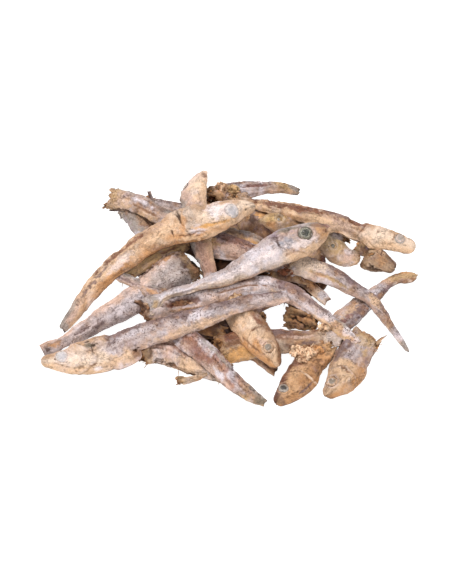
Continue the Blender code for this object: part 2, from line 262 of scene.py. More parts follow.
crumbly_flesh = crumb_material()
core = make_piece("crumb_core", crumb_mounds(), crumbly_flesh)
put_in_heap(core)

# The fish that lie lowest, flat on the table or across each other, mostly in the shade of
# the rest. Each is a salted and dried anchovy, whole or broken: a tube of skin and dry
# flesh, flat from side to side, with a keeled belly, furrowed sides and ragged torn ends.
LEFT = 1  # which side of its middle line a fish's back is on
RIGHT = -1
GRID = 0.42  # mm between points of the skin
SMALLEST_GRID = 30
LINE_STEPS = 14
FRAME_REACH = 0.04
USUAL_DEPTH = 12

# Where along a fish its parts lie, as shares of its length from the snout.
GILL = 0.24
HEAD_EASE = 0.2
SLIM_FROM = 0.25
SLIM_AT = 0.82
FIN_FROM = 0.90
FLAP_DROP = 0.78
BLUNT_EASE = 0.06
LEAST_HALF_WIDTH = 0.3
KEEL = 0.22

# Half depth above and below the middle line, and half width, as shares of the depth.
SHARES = (0, 0.03, 0.08, 0.14, 0.23, 0.25, 0.34, 0.46, 0.58, 0.70, 0.82, 0.90, 0.95, 1)
ABOVE = (0.13, 0.25, 0.36, 0.43, 0.49, 0.46, 0.46, 0.43, 0.38, 0.32, 0.26, 0.22, 0.21, 0.15)
BELOW = (0.14, 0.26, 0.38, 0.46, 0.51, 0.48, 0.48, 0.43, 0.37, 0.30, 0.24, 0.21, 0.21, 0.15)
WIDE = (0.09, 0.17, 0.22, 0.26, 0.29, 0.27, 0.26, 0.24, 0.22, 0.18, 0.13, 0.08, 0.05, 0.03)
SMOOTHED_OVER = 0.012

# A torn end turns in on itself: how deep in mm, and how much smaller, each inner ring is.
TORN_INSIDE = (
    (0.1, 0.93), (0.35, 0.86), (0.6, 0.76), (0.8, 0.62), (0.95, 0.45), (1.05, 0.26), (1.1, 0.1))
TORN_REACH = 6.0

# A snout closes in a round cap: how far out and how small each ring is, by its half height.
ROUND_CAP = ((-0.2, 0.95), (-0.45, 0.84), (-0.65, 0.66), (-0.8, 0.42), (-0.87, 0.18))
FIN_TIP = 0.35

# The relief that drying leaves on skin: how high and how wide each kind is, in mm. A spread
# gives how often it comes along the fish and round it.
LUMPS_HIGH, LUMPS_WIDE = 0.5, 8.0
DENTS_HIGH, DENT_SPREAD = 0.45, (0.09, 0.42, 0.42)
FOLDS_HIGH, FOLD_SPREAD = 0.3, (0.16, 0.75, 0.75)
CRAGS_HIGH, CRAGS_WIDE = 0.2, 2.6
PEELED_DEEP, PEELED_WIDE = 0.13, 4.5
GRAIN_HIGH, GRAIN_WIDE = 0.13, 1.3
BANDS_HIGH, BAND_PITCH, BAND_SLANT = 0.06, 1.25, 0.45
RAYS_HIGH, RAY_PITCH = 0.07, 0.75
BROKEN_HIGH, BROKEN_WIDE = 0.75, 2.3
SPLIT_HIGH, SPLIT_WIDE = 0.3, 0.9
FURROWS = ((0.34, 0.03, 0.05), (0.22, 0.24, 0.04))  # how deep, how far up, how wide

# How strongly each layer of paint shows on the skin, from 0 to 1.
STAINED = 0.65
BLOOMED = 0.7
PEELED = 0.3
ORANGE_TINGE = 0.34
VIOLET_TINGE = 0.28
BLOTTED = 0.6
# Painted shade: the crease layer darkens sunken skin, and the underside layer darkens skin that faces
# down.
CREASE_SHADE, MOST_CREASE_SHADE = 0.44, 0.9
RAISED = 0.25
IN_SHADE = 0.75
NEAR_TORN, AT_TORN = 0.5, 0.7

# Where a mark fades out, as shares of its size: thin lines and cracks are sharper.
SHARP_EDGE = (0.72, 1.12)
SOFT_EDGE = (0.4, 1.3)
THIN_MARK = 0.7

# Colours of dried fish, as they look.
SPECK = (78, 48, 38)
LILAC = (222, 211, 215)
DARK_VIOLET = (124, 101, 97)
VIOLET = (158, 136, 150)
PINK = (206, 174, 157)
PALE_PINK = (236, 218, 214)
PEACH = (222, 184, 149)
PALE_PEACH = (231, 204, 180)
ORANGE = (198, 144, 96)
TAN = (188, 151, 120)
YELLOW_TAN = (190, 155, 112)
GREY_SKIN = (162, 149, 140)
OLIVE_GREY = (122, 110, 94)
BROWN = (140, 100, 72)
FLESH_BROWN = (156, 106, 68)
RED_BROWN = (122, 74, 52)
DARK_BROWN = (66, 38, 23)
NEAR_BLACK = (36, 23, 15)
# A dark brown for cracks and the head's seams, and the colour of the painted shade in creases and
# wrinkles.
CREASE_AND_SHADE_BROWN = (78, 46, 28)


@dataclass(frozen=True)
class Skin:
    """The colours of a stretch of fish, and how speckled it is, from 0 to 1."""

    back: tuple
    side: tuple
    belly: tuple
    stain: tuple
    bloom: tuple
    speckled: float


@dataclass(frozen=True)
class Mark:
    """A crack, stain, dent or lump, by its middle and its half sizes in mm."""

    share: float  # share of the fish's length
    turn: float  # degrees round from the back, 90 in the middle of the upper side
    long: float
    wide: float
    colour: tuple = None
    press: float = 0  # mm pressed in, or swollen where negative
    slant: float = 0  # degrees
    strength: float = 0.85
    ragged: float = 0.45
    jagged: float = 0  # mm that a crack wanders sideways


PINK_SKIN = Skin(GREY_SKIN, PINK, PEACH, BROWN, LILAC, 0.6)
TAN_SKIN = Skin(RED_BROWN, TAN, PEACH, BROWN, PALE_PEACH, 0.5)
BROWN_SKIN = Skin(DARK_BROWN, BROWN, TAN, RED_BROWN, PINK, 0.6)
FLESH = Skin(RED_BROWN, FLESH_BROWN, ORANGE, DARK_BROWN, ORANGE, 0.2)


@dataclass(frozen=True)
class Fish:
    """One fish, or what is left of one, by the line that runs along its middle in mm."""

    name: str
    line: tuple
    back: int
    skin: Skin
    head_skin: Skin = None
    tail_skin: Skin = None
    depth: float = USUAL_DEPTH
    share: tuple = (0, 1)  # from where to where of a whole fish it is
    lean: tuple = (20, 20)  # degrees that its back is raised, at its front and its rear
    thin: float = 1
    head: float = 1
    slim: float = 1
    blunt: float = 0  # how much shorter and broader the snout is
    fin: float = 1
    flap: float = 0  # share of the length where the belly's flap ends
    fork: float = 1.2  # mm that the tail is cut in, or drawn out where negative
    ragged: float = 2.2
    eye: tuple = (0.085, 0.04)
    eye_size: float = 0.19
    eye_colours: tuple = (GREY_SKIN, PALE_PINK, TAN)
    tone: float = 1  # darker than its skin's usual colours, or paler
    gill: float = 0.236
    crumpled: float = 1  # how uneven drying has left its skin and colours
    crumbly: float = 0.35  # how many crumbs stick to its torn ends
    flesh: tuple = ORANGE  # the colour of its torn ends
    crisp: float = 1  # how clearly the gill cover and the jaws still show
    marks: tuple = ()


def smooth_line(places):
    """Short steps along a smooth curve through the places."""
    points = np.array(places, float)
    points = np.vstack((2 * points[0] - points[1], points, 2 * points[-1] - points[-2]))
    t = (np.arange(LINE_STEPS) / LINE_STEPS)[:, None]
    steps = []
    for before, start, end, after in zip(points, points[1:], points[2:], points[3:]):
        bend = (2 * before - 5 * start + 4 * end - after) * t**2
        twist = (3 * start - 3 * end + after - before) * t**3
        steps.append((2 * start + (end - before) * t + bend + twist) / 2)
    return np.vstack((*steps, points[-2:-1]))


def unit(vectors):
    """Vectors of length 1."""
    return vectors / np.linalg.norm(vectors, axis=-1, keepdims=True)


def bell(values, width):
    """1 where a value is 0, falling away on both sides within about a width."""
    return np.exp(-((values / width) ** 2))


class Path:
    """The middle line of a fish, with the fish's own directions all along it."""

    def __init__(self, fish):
        self.fish = fish
        self.steps = smooth_line(fish.line)
        gaps = np.linalg.norm(np.diff(self.steps, axis=0), axis=1)
        self.far = np.concatenate(([0.0], np.cumsum(gaps)))
        self.length = self.far[-1]
        start, end = fish.share
        self.whole = self.length / (end - start)

    def part(self, share):
        """The part of the line at which a share of the whole fish lies."""
        start, end = self.fish.share
        return (share - start) / (end - start)

    def place(self, part):
        """The place at a part of the line, which runs on straight past its ends."""
        wanted = np.asarray(part) * self.length
        found = np.clip(np.searchsorted(self.far, wanted) - 1, 0, len(self.far) - 2)
        a, b = self.steps[found], self.steps[found + 1]
        ahead = (wanted - self.far[found]) / (self.far[found + 1] - self.far[found])
        return a + (b - a) * ahead[..., None]

    def frame(self, part):
        """Directions along the fish, to its back, and out of the side that faces up."""
        part = np.asarray(part, float)
        along = unit(self.place(part + FRAME_REACH) - self.place(part - FRAME_REACH))
        up = unit(np.array((0, 0, 1.0)) - along * along[..., 2:])
        flat = np.cross(up, along) * self.fish.back
        front, rear = self.fish.lean
        lean = np.radians(front + (rear - front) * np.clip(part, 0, 1))[..., None]
        back = flat * np.cos(lean) + up * np.sin(lean)
        side = up * np.cos(lean) - flat * np.sin(lean)
        return along, back, side


def half_sizes(fish, share):
    """Half depth above and below the line, and half width, in mm."""

    def eased(start, end):
        return np.clip((share - start) / (end - start), 0, 1)

    snout = share + fish.blunt * np.exp(-share / BLUNT_EASE)

    def outline(values):
        steps = (-SMOOTHED_OVER, 0, SMOOTHED_OVER)
        near = [np.interp(snout + step, SHARES, values) for step in steps]
        return (near[0] + 2 * near[1] + near[2]) / 4

    back = 1 + (fish.head - 1) * (1 - eased(GILL, GILL + HEAD_EASE))
    belly = back
    if fish.flap:
        behind = FLAP_DROP + (1 - FLAP_DROP) * eased(fish.flap, 1)
        belly = np.where(share <= GILL, back, np.where(share <= fish.flap, fish.head, behind))
    rear = 1 + (fish.slim - 1) * eased(SLIM_FROM, SLIM_AT)
    rear = rear * (1 + (fish.fin - 1) * eased(FIN_FROM, 1))
    wide = np.maximum(outline(WIDE) * fish.depth * fish.thin, LEAST_HALF_WIDTH)
    return outline(ABOVE) * back * rear * fish.depth, outline(BELOW) * belly * rear * fish.depth, wide


class Body:
    """The rings of a fish's skin: where each point lies on the fish, and in the heap."""

    def __init__(self, fish, seed):
        self.fish = fish
        self.seed = seed
        self.path = Path(fish)
        start, end = fish.share
        outer = np.linspace(start, end, max(round(self.path.length / GRID), SMALLEST_GRID))
        rings = [(share, 0.0, 1.0) for share in outer]
        if start > 0:
            rings = [(start, deep, size) for deep, size in TORN_INSIDE[::-1]] + rings
        else:
            high = float(half_sizes(fish, np.array(0.0))[0])
            rings = [(start, out * high, size) for out, size in ROUND_CAP[::-1]] + rings
        if end < 1:
            rings += [(end, deep, size) for deep, size in TORN_INSIDE]
        share, deep, size = (np.array(values)[:, None] for values in zip(*rings))
        above, below, wide = half_sizes(fish, outer)
        girth = math.tau * math.sqrt(((above + below).max() ** 2 / 4 + wide.max() ** 2) / 2)
        self.sides = max(round(girth / GRID), SMALLEST_GRID)
        turn = (math.tau * np.arange(self.sides) / self.sides)[None, :]
        self.share, self.turn, self.deep = np.broadcast_arrays(share, turn, deep)
        self.place_rings(share, turn, deep, size)
        self.from_torn = self.distance_from_torn()

    def place_rings(self, share, turn, deep, size):
        """Where the points of the smooth skin lie, before it is crumpled."""
        fish, path = self.fish, self.path
        above, below, wide = half_sizes(fish, share)
        rise, out = np.cos(turn), np.sin(turn)
        keel = 1 - KEEL * np.clip(-rise, 0, 1) ** 3
        self.height = rise * np.where(rise > 0, above, below)
        inwards = np.where(share <= fish.share[0], deep, -deep) / path.whole
        part = path.part(share + inwards)[:, 0]
        along, back, side = (v[:, None, :] for v in path.frame(path.part(share)[:, 0]))
        middle = path.place(part)[:, None, :]
        flat = out * wide * keel
        self.smooth = (
            middle
            + back * (self.height * size)[..., None]
            + side * (flat * size)[..., None]
            + along * self.ragged_edge(share, turn, deep)[..., None]
        )
        self.along = share * path.whole + 0 * turn
        round_it = (self.along, rise * fish.depth / 3, out * fish.depth / 3)
        self.run = np.stack(np.broadcast_arrays(*round_it), -1)
        steps = np.hypot(np.diff(self.height, axis=1, append=self.height[:, :1]),
                         np.diff(flat, axis=1, append=flat[:, :1]))
        self.arc = np.concatenate((np.zeros((len(steps), 1)), np.cumsum(steps, axis=1)), axis=1)
        self.normals = self.outward_normals()

    def ragged_edge(self, share, turn, deep):
        """How far in mm the torn ends and the fin reach out of line."""
        fish, whole = self.fish, self.path.whole
        start, end = fish.share
        round_it = np.stack(np.broadcast_arrays(np.cos(turn), np.sin(turn), 0 * turn), -1)[0]
        bites = 2 * ramp(rough(round_it, 0.8, self.seed + 3, 2), -0.25, 0.35) - 1
        teeth = (0.7 * bites + 0.6 * rough(round_it, 0.25, self.seed + 5, 3)) * fish.ragged
        fade = np.clip(1 - deep / TORN_INSIDE[-1][0] / 1.4, 0, 1)

        def near(distance):
            return np.clip(1 - distance * whole / TORN_REACH, 0, 1) ** 2 * fade

        total = 0 * share * turn
        if start > 0:
            total = total + teeth * near(share - start)
        if end < 1:
            return total + teeth[::-1] * near(end - share)
        middle = 1 - np.abs(np.cos(turn))
        return total + (0.35 * teeth - fish.fork * middle) * ramp(share, FIN_FROM, 1)

    def outward_normals(self):
        """The direction straight out of the smooth skin at each point."""
        around = np.roll(self.smooth, -1, 1) - np.roll(self.smooth, 1, 1)
        normals = np.cross(around, np.gradient(self.smooth, axis=0))
        middle = self.smooth.mean(1, keepdims=True)
        facing = ((self.smooth - middle) * normals).sum(-1)
        flip = -1 if facing[self.deep == 0].sum() < 0 else 1
        return unit(normals * flip + 1e-9)

    def distance_from_torn(self):
        """How far in mm each point lies from the nearest torn end."""
        start, end = self.fish.share
        distance = np.full(self.share.shape, 99.0)
        if start > 0:
            distance = np.minimum(distance, (self.share - start) * self.path.whole)
        if end < 1:
            distance = np.minimum(distance, (end - self.share) * self.path.whole)
        return distance

    def across(self, turn):
        """Distances in mm round the fish from a turn in degrees, to either side."""
        column = turn / 360 * self.sides
        low = int(column) % self.sides
        start = self.arc[:, low] + (self.arc[:, low + 1] - self.arc[:, low]) * (column % 1)
        total = self.arc[:, -1:]
        return (self.arc[:, :-1] - start[:, None] + total / 2) % total - total / 2

    def spot(self, mark, number, edge=SHARP_EDGE):
        """How much of a mark lies at each point, from 0 to 1."""
        x = self.along - mark.share * self.path.whole
        y = self.across(mark.turn)
        slant = math.radians(mark.slant)
        x, y = x * math.cos(slant) + y * math.sin(slant), y * math.cos(slant) - x * math.sin(slant)
        if mark.jagged:
            wander = mark.jagged * rough(self.smooth, 2.4, self.seed + 31 * number + 9, 3)
            x, y = (x + wander, y) if mark.long < mark.wide else (x, y + wander)
        coarse = rough(self.smooth, 2.2, self.seed + 31 * number, 2)
        fine = rough(self.smooth, 0.9, self.seed + 5 * number, 2)
        away = np.hypot(x / mark.long, y / mark.wide) + mark.ragged * (coarse + 0.7 * fine)
        return 1 - ramp(away, *edge)


def dry_relief(body):
    """Dents, folds, peeled patches, muscle bands and grain that drying leaves, in mm."""
    fish, place, seed = body.fish, body.smooth, body.seed
    lumps = LUMPS_HIGH * rough(place, LUMPS_WIDE, seed, 2)
    dents = DENTS_HIGH * rough(body.run * DENT_SPREAD, 1.0, seed + 2, 2)
    folds = FOLDS_HIGH * (0.5 - np.abs(rough(body.run * FOLD_SPREAD, 1.0, seed + 7, 2)))
    crags = CRAGS_HIGH * rough(place, CRAGS_WIDE, seed + 4, 4)
    peeled = ramp(rough(place, PEELED_WIDE, seed + 83, 4), 0.12, 0.24)
    bands = np.cos(math.tau * (body.along / BAND_PITCH + np.abs(body.height) * BAND_SLANT))
    banded = ramp(rough(place, 9.0, seed + 9, 2), -0.1, 0.6) * ramp(body.share, GILL, GILL + 0.08)
    grain = rough(place, GRAIN_WIDE, seed + 12, 3)
    behind_head = ramp(body.share, GILL, GILL + 0.06) * (1 - ramp(body.share, 0.8, 0.92))
    h = body.height / fish.depth
    furrows = sum(deep * bell(h - up, wide) for deep, up, wide in FURROWS)
    furrows = furrows * behind_head * np.abs(np.sin(body.turn))
    fin = ramp(body.share, FIN_FROM, 0.97)
    rays = np.cos(body.height * math.tau / RAY_PITCH) * RAYS_HIGH * fin
    dried = (dents + folds + crags - furrows) * fish.crumpled
    skin = (lumps + dried) * (fish.depth / USUAL_DEPTH)
    skin = skin + BANDS_HIGH * bands * banded + GRAIN_HIGH * grain - PEELED_DEEP * peeled
    skin = skin * (1 - 0.7 * fin) + rays
    near_torn = 1 - ramp(body.from_torn, 0.0, 5.0)
    broken = BROKEN_HIGH * rough(place, BROKEN_WIDE, seed + 17, 4)
    broken = broken + SPLIT_HIGH * rough(place, SPLIT_WIDE, seed + 19, 2)
    return np.where(body.deep > 0, 0.6 * broken, skin + broken * near_torn * 0.8), grain, peeled


def skin_colours(skin, level, stained, bloomed):
    """The colours of one kind of skin at each point, from its back round to its belly."""
    colours = mixed(np.broadcast_to(dye(skin.side), (*level.shape, 3)), dye(skin.back),
                    ramp(level, 0.2, 0.85))
    colours = mixed(colours, dye(skin.belly), ramp(-level, 0.1, 0.8))
    colours = mixed(colours, dye(skin.stain), STAINED * stained)
    return mixed(colours, dye(skin.bloom), BLOOMED * bloomed)


def paint(body, grain, peeled, lines):
    """The skin's colours at each point, with its torn places, stains and dark creases."""
    fish, place, seed, relief = body.fish, body.smooth, body.seed, body.relief

    # The skin of the head, the middle and the tail, with patches of stain and bloom.
    level = np.cos(body.turn) + 0.5 * rough(place, 5.0, seed + 51, 3)
    blur = 0.03 * rough(place, 5.0, seed + 66, 3)
    head = 1 - ramp(body.share + blur, GILL - 0.02, GILL + 0.03)
    patchy = min(fish.crumpled, 1) * (1 - (0.65 * head if fish.share[0] == 0 else 0))
    stained = patchy * ramp(rough(place, 6.0, seed + 57, 4), 0.1, 0.8)
    bloomed = patchy * ramp(rough(place, 5.0, seed + 63, 4), 0.15, 0.8)
    colours = skin_colours(fish.skin, level, stained, bloomed)
    if fish.head_skin:
        colours = mixed(colours, skin_colours(fish.head_skin, level, stained, bloomed), head)
    if fish.tail_skin:
        tail = ramp(body.share + blur, 0.76, 0.93)
        colours = mixed(colours, skin_colours(fish.tail_skin, level, stained, bloomed), tail)
    colours = mixed(colours, dye(fish.skin.bloom), PEELED * peeled * bloomed)

    # Streaks and mottles in the same colours, then tinges, and blots where it is speckled.
    streaks = 0.06 * rough(body.run * (0.25, 1.1, 1.1), 1.0, seed + 69, 3)
    mottles = 0.1 * rough(place, 2.2, seed + 71, 3) + 0.09 * rough(place, 1.0, seed + 72, 2)
    colours = colours * fish.tone * (1 + patchy * (streaks + mottles))[..., None]
    tinge = rough(place, 1.9, seed + 73, 3)
    colours = mixed(colours, dye(ORANGE), ORANGE_TINGE * patchy * ramp(tinge, 0.1, 0.9))
    colours = mixed(colours, dye(VIOLET), VIOLET_TINGE * patchy * ramp(-tinge, 0.1, 0.9))
    blots = ramp(rough(place, 1.5, seed + 80, 3), 0.42, 0.85)
    blots = blots * ramp(rough(place, 7.0, seed + 81, 2), -0.5, 0.5)
    speckled = fish.skin.speckled
    if fish.head_skin:
        speckled = speckled * ramp(body.share, GILL - 0.03, GILL + 0.02)
    colours = mixed(colours, dye(DARK_VIOLET), BLOTTED * blots * speckled)

    # Painted shade: darker in the creases and on the undersides that face down. Pale on ridges.
    beside = [np.roll(relief, step, axis) for axis in (1, 0) for step in (2, -2)]
    sunk = sum(beside) / 4 - relief
    crease_shade = min(CREASE_SHADE * fish.crumpled, MOST_CREASE_SHADE)
    # Painted shade in the sunken creases.
    colours = mixed(colours, dye(CREASE_AND_SHADE_BROWN), crease_shade * ramp(sunk, 0.03, 0.26))
    colours = mixed(colours, dye(fish.skin.bloom), RAISED * ramp(-sunk, 0.05, 0.25))
    colours = mixed(colours, dye(CREASE_AND_SHADE_BROWN), lines)
    # Painted shade on skin that faces down, where the light from above does not fall.
    colours = mixed(colours, dye(DARK_BROWN), IN_SHADE * ramp(-body.normals[..., 2], -0.1, 0.6))

    # Its own marks, and dry flesh at its torn ends.
    for number, mark in enumerate(fish.marks):
        if mark.colour:
            sharp = mark.jagged or min(mark.long, mark.wide) < THIN_MARK
            spot = body.spot(mark, number, SHARP_EDGE if sharp else SOFT_EDGE)
            spot = spot * (1 - 0.3 * ramp(grain, 0.1, 0.9))
            colours = mixed(colours, dye(mark.colour), mark.strength * spot)
    from_torn = body.from_torn + 1.8 * rough(place, 2.0, seed + 75, 3)
    colours = mixed(colours, dye(YELLOW_TAN), NEAR_TORN * (1 - ramp(from_torn, 1.0, 4.0)))
    colours = mixed(colours, dye(BROWN), AT_TORN * (1 - ramp(from_torn, 0.0, 1.8)))
    flesh = np.broadcast_to(dye(fish.flesh), colours.shape)
    # Painted shade: the flesh darkens deeper into the hollow of the torn end.
    flesh = mixed(flesh, dye(DARK_BROWN), ramp(body.deep + 1.2 * grain, -0.2, 1.6))
    return np.where((body.deep > 0)[..., None], flesh, colours)


def skin_material():
    """Dry fish skin: painted colours, broken by grains and dark specks, painted shade in its
    wrinkles, and a dull gloss.
    """
    nodes = Finish("dry_skin", 0.5, 0.3)
    place, run = nodes.place(), nodes.read("run", "Vector")

    def stretched(scale):
        return nodes.add("ShaderNodeMapping", {"Vector": run, "Scale": scale}).outputs[0]

    def product(a, b):
        return nodes.maths("MULTIPLY", a, b)

    streaks = nodes.noise(stretched((0.5, 2.4, 2.4)), 1.0, 4.0)
    grains = nodes.noise(place, 1700.0, 5.0, 0.65)
    colour = nodes.vary(nodes.read("tint", "Color"), streaks, 0.3, 0.7, 0.94, 1.05)
    colour = nodes.vary(colour, grains, 0.3, 0.7, 0.74, 1.2)
    dots = nodes.span(nodes.noise(place, 1300.0, 4.0, 0.7), 0.54, 0.6)
    clusters = nodes.span(nodes.noise(place, 260.0, 2.0), 0.36, 0.53)
    specks = product(product(dots, clusters), nodes.read("speckled"))
    colour = nodes.mix(specks, colour, (*dye(SPECK), 1.0))
    gloss = nodes.span(nodes.noise(place, 420.0, 3.0), 0.35, 0.65, 0.36, 0.64)
    nodes.tree.links.new(gloss, nodes.shader.inputs["Roughness"])
    bent = nodes.noise(stretched((0.55, 1.3, 1.3)), 1.0, 5.0, 0.62)
    valley = nodes.maths("ABSOLUTE", nodes.maths("SUBTRACT", bent, 0.5), 0.0)
    wrinkled = nodes.span(nodes.noise(place, 190.0, 3.0), 0.42, 0.6)
    wrinkles = product(nodes.span(valley, 0.0, 0.03, 1.0, 0.0), wrinkled)
    # Painted shade: the wrinkles' valleys are darkened with the crease colour.
    colour = nodes.mix(product(wrinkles, 0.55), colour, (*dye(CREASE_AND_SHADE_BROWN), 1.0))
    height = nodes.maths("ADD", product(streaks, 0.5), grains)
    height = nodes.maths("SUBTRACT", height, product(wrinkles, 0.8))
    return nodes.finish(colour, height, 0.2, 0.95)


dry_skin = skin_material()
heap_fish = []


def lay_fish(*sizes, **more):
    """Makes a fish where it lies, and puts it in the heap."""
    fish = Fish(*sizes, **more)
    body = Body(fish, 100 * (len(heap_fish) + 1))
    body.relief, grain, peeled = dry_relief(body)
    lines = 0.0
    if fish.share[0] == 0 and fish.eye:
        head, lines = head_relief(body)
        smoother = 1 - 0.55 * (1 - ramp(body.share, GILL - 0.02, GILL + 0.03))
        body.relief = body.relief * smoother + head
    for number, mark in enumerate(fish.marks):
        if mark.press:
            body.relief = body.relief - mark.press * body.spot(mark, number)
    colours = paint(body, grain, peeled, lines)
    skin = body.smooth + body.normals * body.relief[..., None]
    onward = body.path.frame(1)[0] * (FIN_TIP if fish.share[1] == 1 else 0)
    places, faces = closed(skin, skin[0].mean(0), skin[-1].mean(0) + onward)

    def with_ends(values):
        return np.vstack((values.reshape(-1, 3), values[0].mean(0), values[-1].mean(0)))

    speckled = fish.skin.speckled * np.where(body.deep > 0, 0, ramp(np.cos(body.turn), -0.9, 0.4))
    if fish.head_skin:
        speckled = speckled * (0.15 + 0.85 * ramp(body.share, GILL - 0.03, GILL + 0.03))
    torn = fish.crumbly * (1 - ramp(body.from_torn, 0.5, 3.5))
    extras = (
        ("run", with_ends(body.run)),
        ("speckled", np.append(speckled.ravel(), (0, 0))),
        ("torn", np.append(torn.ravel(), (0, 0))),
    )
    piece = make_piece(fish.name, (places, faces, with_ends(colours)), dry_skin, extras)
    put_in_heap(piece)
    heap_fish.append((fish, body))


lay_fish(
    "back_low", ((-22, 44, 3.5), (-4, 49, 5), (16, 50, 4.5), (34, 50, 3.5), (50, 44, 2.5)),
    RIGHT, TAN_SKIN, depth=11, share=(0.1, 0.95))
lay_fish(
    "back_inner", ((-38, 27, 3.5), (-22, 33, 4), (-4, 38, 5), (14, 38, 6)), LEFT, BROWN_SKIN,
    share=(0.1, 0.75), tone=0.95)
lay_fish(
    "cross_right", ((32, 44, 3), (37, 28, 5), (38, 14, 6), (38, 8, 6)), LEFT, TAN_SKIN, tone=1.1,
    share=(0.2, 0.85))
lay_fish(
    "cross_middle", ((6, 50, 9), (10, 38, 10), (18, 24, 8), (26, 12, 6)), LEFT, BROWN_SKIN,
    share=(0.1, 0.7), tone=0.85, marks=(
        Mark(0.41, 128, 3.5, 2.2, ORANGE), Mark(0.3, 80, 4, 2, DARK_BROWN)))
# Painted shade: the near-black tone of this scrap stands for the shade of the hollow under the front
# fish.
lay_fish(
    "dark_hollow", ((-16, -16, 3.5), (-6, -17, 5), (4, -16, 5), (14, -16, 4)), LEFT, FLESH,
    share=(0.3, 0.8), tone=0.2, marks=(
        Mark(0.45, 100, 4, 2.5, BROWN, strength=0.3), Mark(0.65, 80, 5, 3, NEAR_BLACK)))
lay_fish(
    "under_join", ((7, -12.5, 7.8), (15, -8, 8.3), (24, -5, 8.6)), LEFT, BROWN_SKIN, depth=8,
    tone=0.6, share=(0.4, 0.9))
lay_fish(
    "under_front", ((18, 8.5, 9.5), (25, 7.5, 10), (33, 5, 9.5)), LEFT, BROWN_SKIN, depth=9,
    tone=0.62, share=(0.3, 0.8), crumbly=0.6)
lay_fish(
    "under_stump", ((-42, 51.4, 3), (-37, 43.6, 3.6), (-31, 32.6, 4.6), (-24, 21.4, 5.5)), RIGHT,
    PINK_SKIN, depth=14, share=(0.15, 0.65), tone=0.92, marks=(
        Mark(0.36, 110, 7, 2.2, OLIVE_GREY, 0.6), Mark(0.42, 135, 6, 1.4, DARK_BROWN),
        Mark(0.34, 82, 7, 3, BROWN, 0.4), Mark(0.3, 66, 6, 2.4, TAN),
        Mark(0.44, 104, 6, 3, TAN, strength=0.7), Mark(0.3, 40, 4, 1.5, GREY_SKIN)))

# Scraps of torn fish at the front, in the shade of the big ones: a belly with its edges
# gone, a dark tail and a curled piece of brown skin.
MAROON = (128, 84, 74)
RUSSET = (178, 134, 114)
ROSE = (222, 184, 164)

lay_fish(
    "bottom_torn", ((-34, -27.5, 3.6), (-24, -29.5, 3.6), (-13, -35.6, 3.6), (-2, -39.2, 3.5)),
    LEFT, Skin(PINK, ROSE, PEACH, PINK, PALE_PINK, 0.3), share=(0.25, 0.7), ragged=3.4,
    tone=0.77, crumpled=1.3, marks=(
        Mark(0.29, 120, 2.4, 2.8, DARK_BROWN),
        Mark(0.42, 148, 1.4, 0.9, NEAR_BLACK, 0.5, ragged=0.9),
        Mark(0.455, 146, 1.6, 0.9, DARK_BROWN, 0.5, ragged=0.9),
        Mark(0.3, 60, 5, 2.4, RUSSET, strength=0.7),
        Mark(0.45, 55, 8, 1.5, MAROON, strength=0.5),
        Mark(0.5, 150, 6, 1, BROWN, 0.5, ragged=0.9),
        Mark(0.36, 148, 2.4, 1.4, None, 1.4, ragged=0.5), Mark(0.54, 110, 5, 4, PEACH, -0.3)))
lay_fish(
    "dark_tail", ((6, -26, 3.5), (12, -30, 3.5), (20, -39, 3)), LEFT, BROWN_SKIN, share=(0.7, 1),
    marks=(
        Mark(0.8, 90, 5, 3, RED_BROWN),))
lay_fish(
    "curled", ((26, -11.5, 5.8), (31, -13.5, 6.2), (38, -16, 6.2)), LEFT, FLESH, depth=11,
    share=(0.3, 0.6), thin=1.5, crumpled=2.2, crumbly=0.1, ragged=1.2, tone=0.72, marks=(
        Mark(0.42, 90, 4, 0.7, DARK_BROWN, 1.2, -14, jagged=1.2),
        Mark(0.5, 60, 2.5, 0.7, NEAR_BLACK, 1, 20, jagged=1.2),
        Mark(0.45, 125, 5, 0.6, NEAR_BLACK, 1, 16, jagged=1.2),
        Mark(0.4, 70, 4, 0.8, TAN, -0.5)))

# Shreds and splinters of broken fish, small and dark, that stick to the torn ends or lie
# in the hollows between the whole ones.
VIOLET_GREY = (186, 168, 164)
AMBER = (218, 162, 98)
GOLD = (208, 170, 116)
VIOLET_SKIN = Skin(DARK_VIOLET, VIOLET_GREY, PINK, BROWN, LILAC, 0.9)
ORANGE_SKIN = Skin(BROWN, PEACH, ORANGE, TAN, PALE_PEACH, 0.4)

# Painted light: its tone is raised to make up for the shade that the fish above casts on it.
lay_fish(
    "belly_wall", ((-19, 24.5, 8.2), (-31, 17.3, 9), (-42, 8.5, 6.5)), LEFT,
    Skin(YELLOW_TAN, GOLD, YELLOW_TAN, BROWN, TAN, 0.2), depth=10.5, share=(0.25, 0.6),
    lean=(30, 30), tone=1.25, crumpled=1, crumbly=0.1, marks=(
        Mark(0.42, 118, 10, 4, GOLD, strength=0.8), Mark(0.45, 110, 5, 0.6, BROWN, 0.6),
        Mark(0.36, 140, 4, 1.4, AMBER), Mark(0.33, 40, 5, 0.8, RED_BROWN, 0.5)))
lay_fish(
    "torn_leg", ((-19.5, -42.4, 2), (-13.5, -42, 2.4), (-7, -39.3, 3)), LEFT, ORANGE_SKIN,
    depth=3.4, ragged=0.9, share=(0.3, 0.6), thin=1.2, tone=0.72, marks=(
        Mark(0.31, 90, 1.5, 3, NEAR_BLACK),))
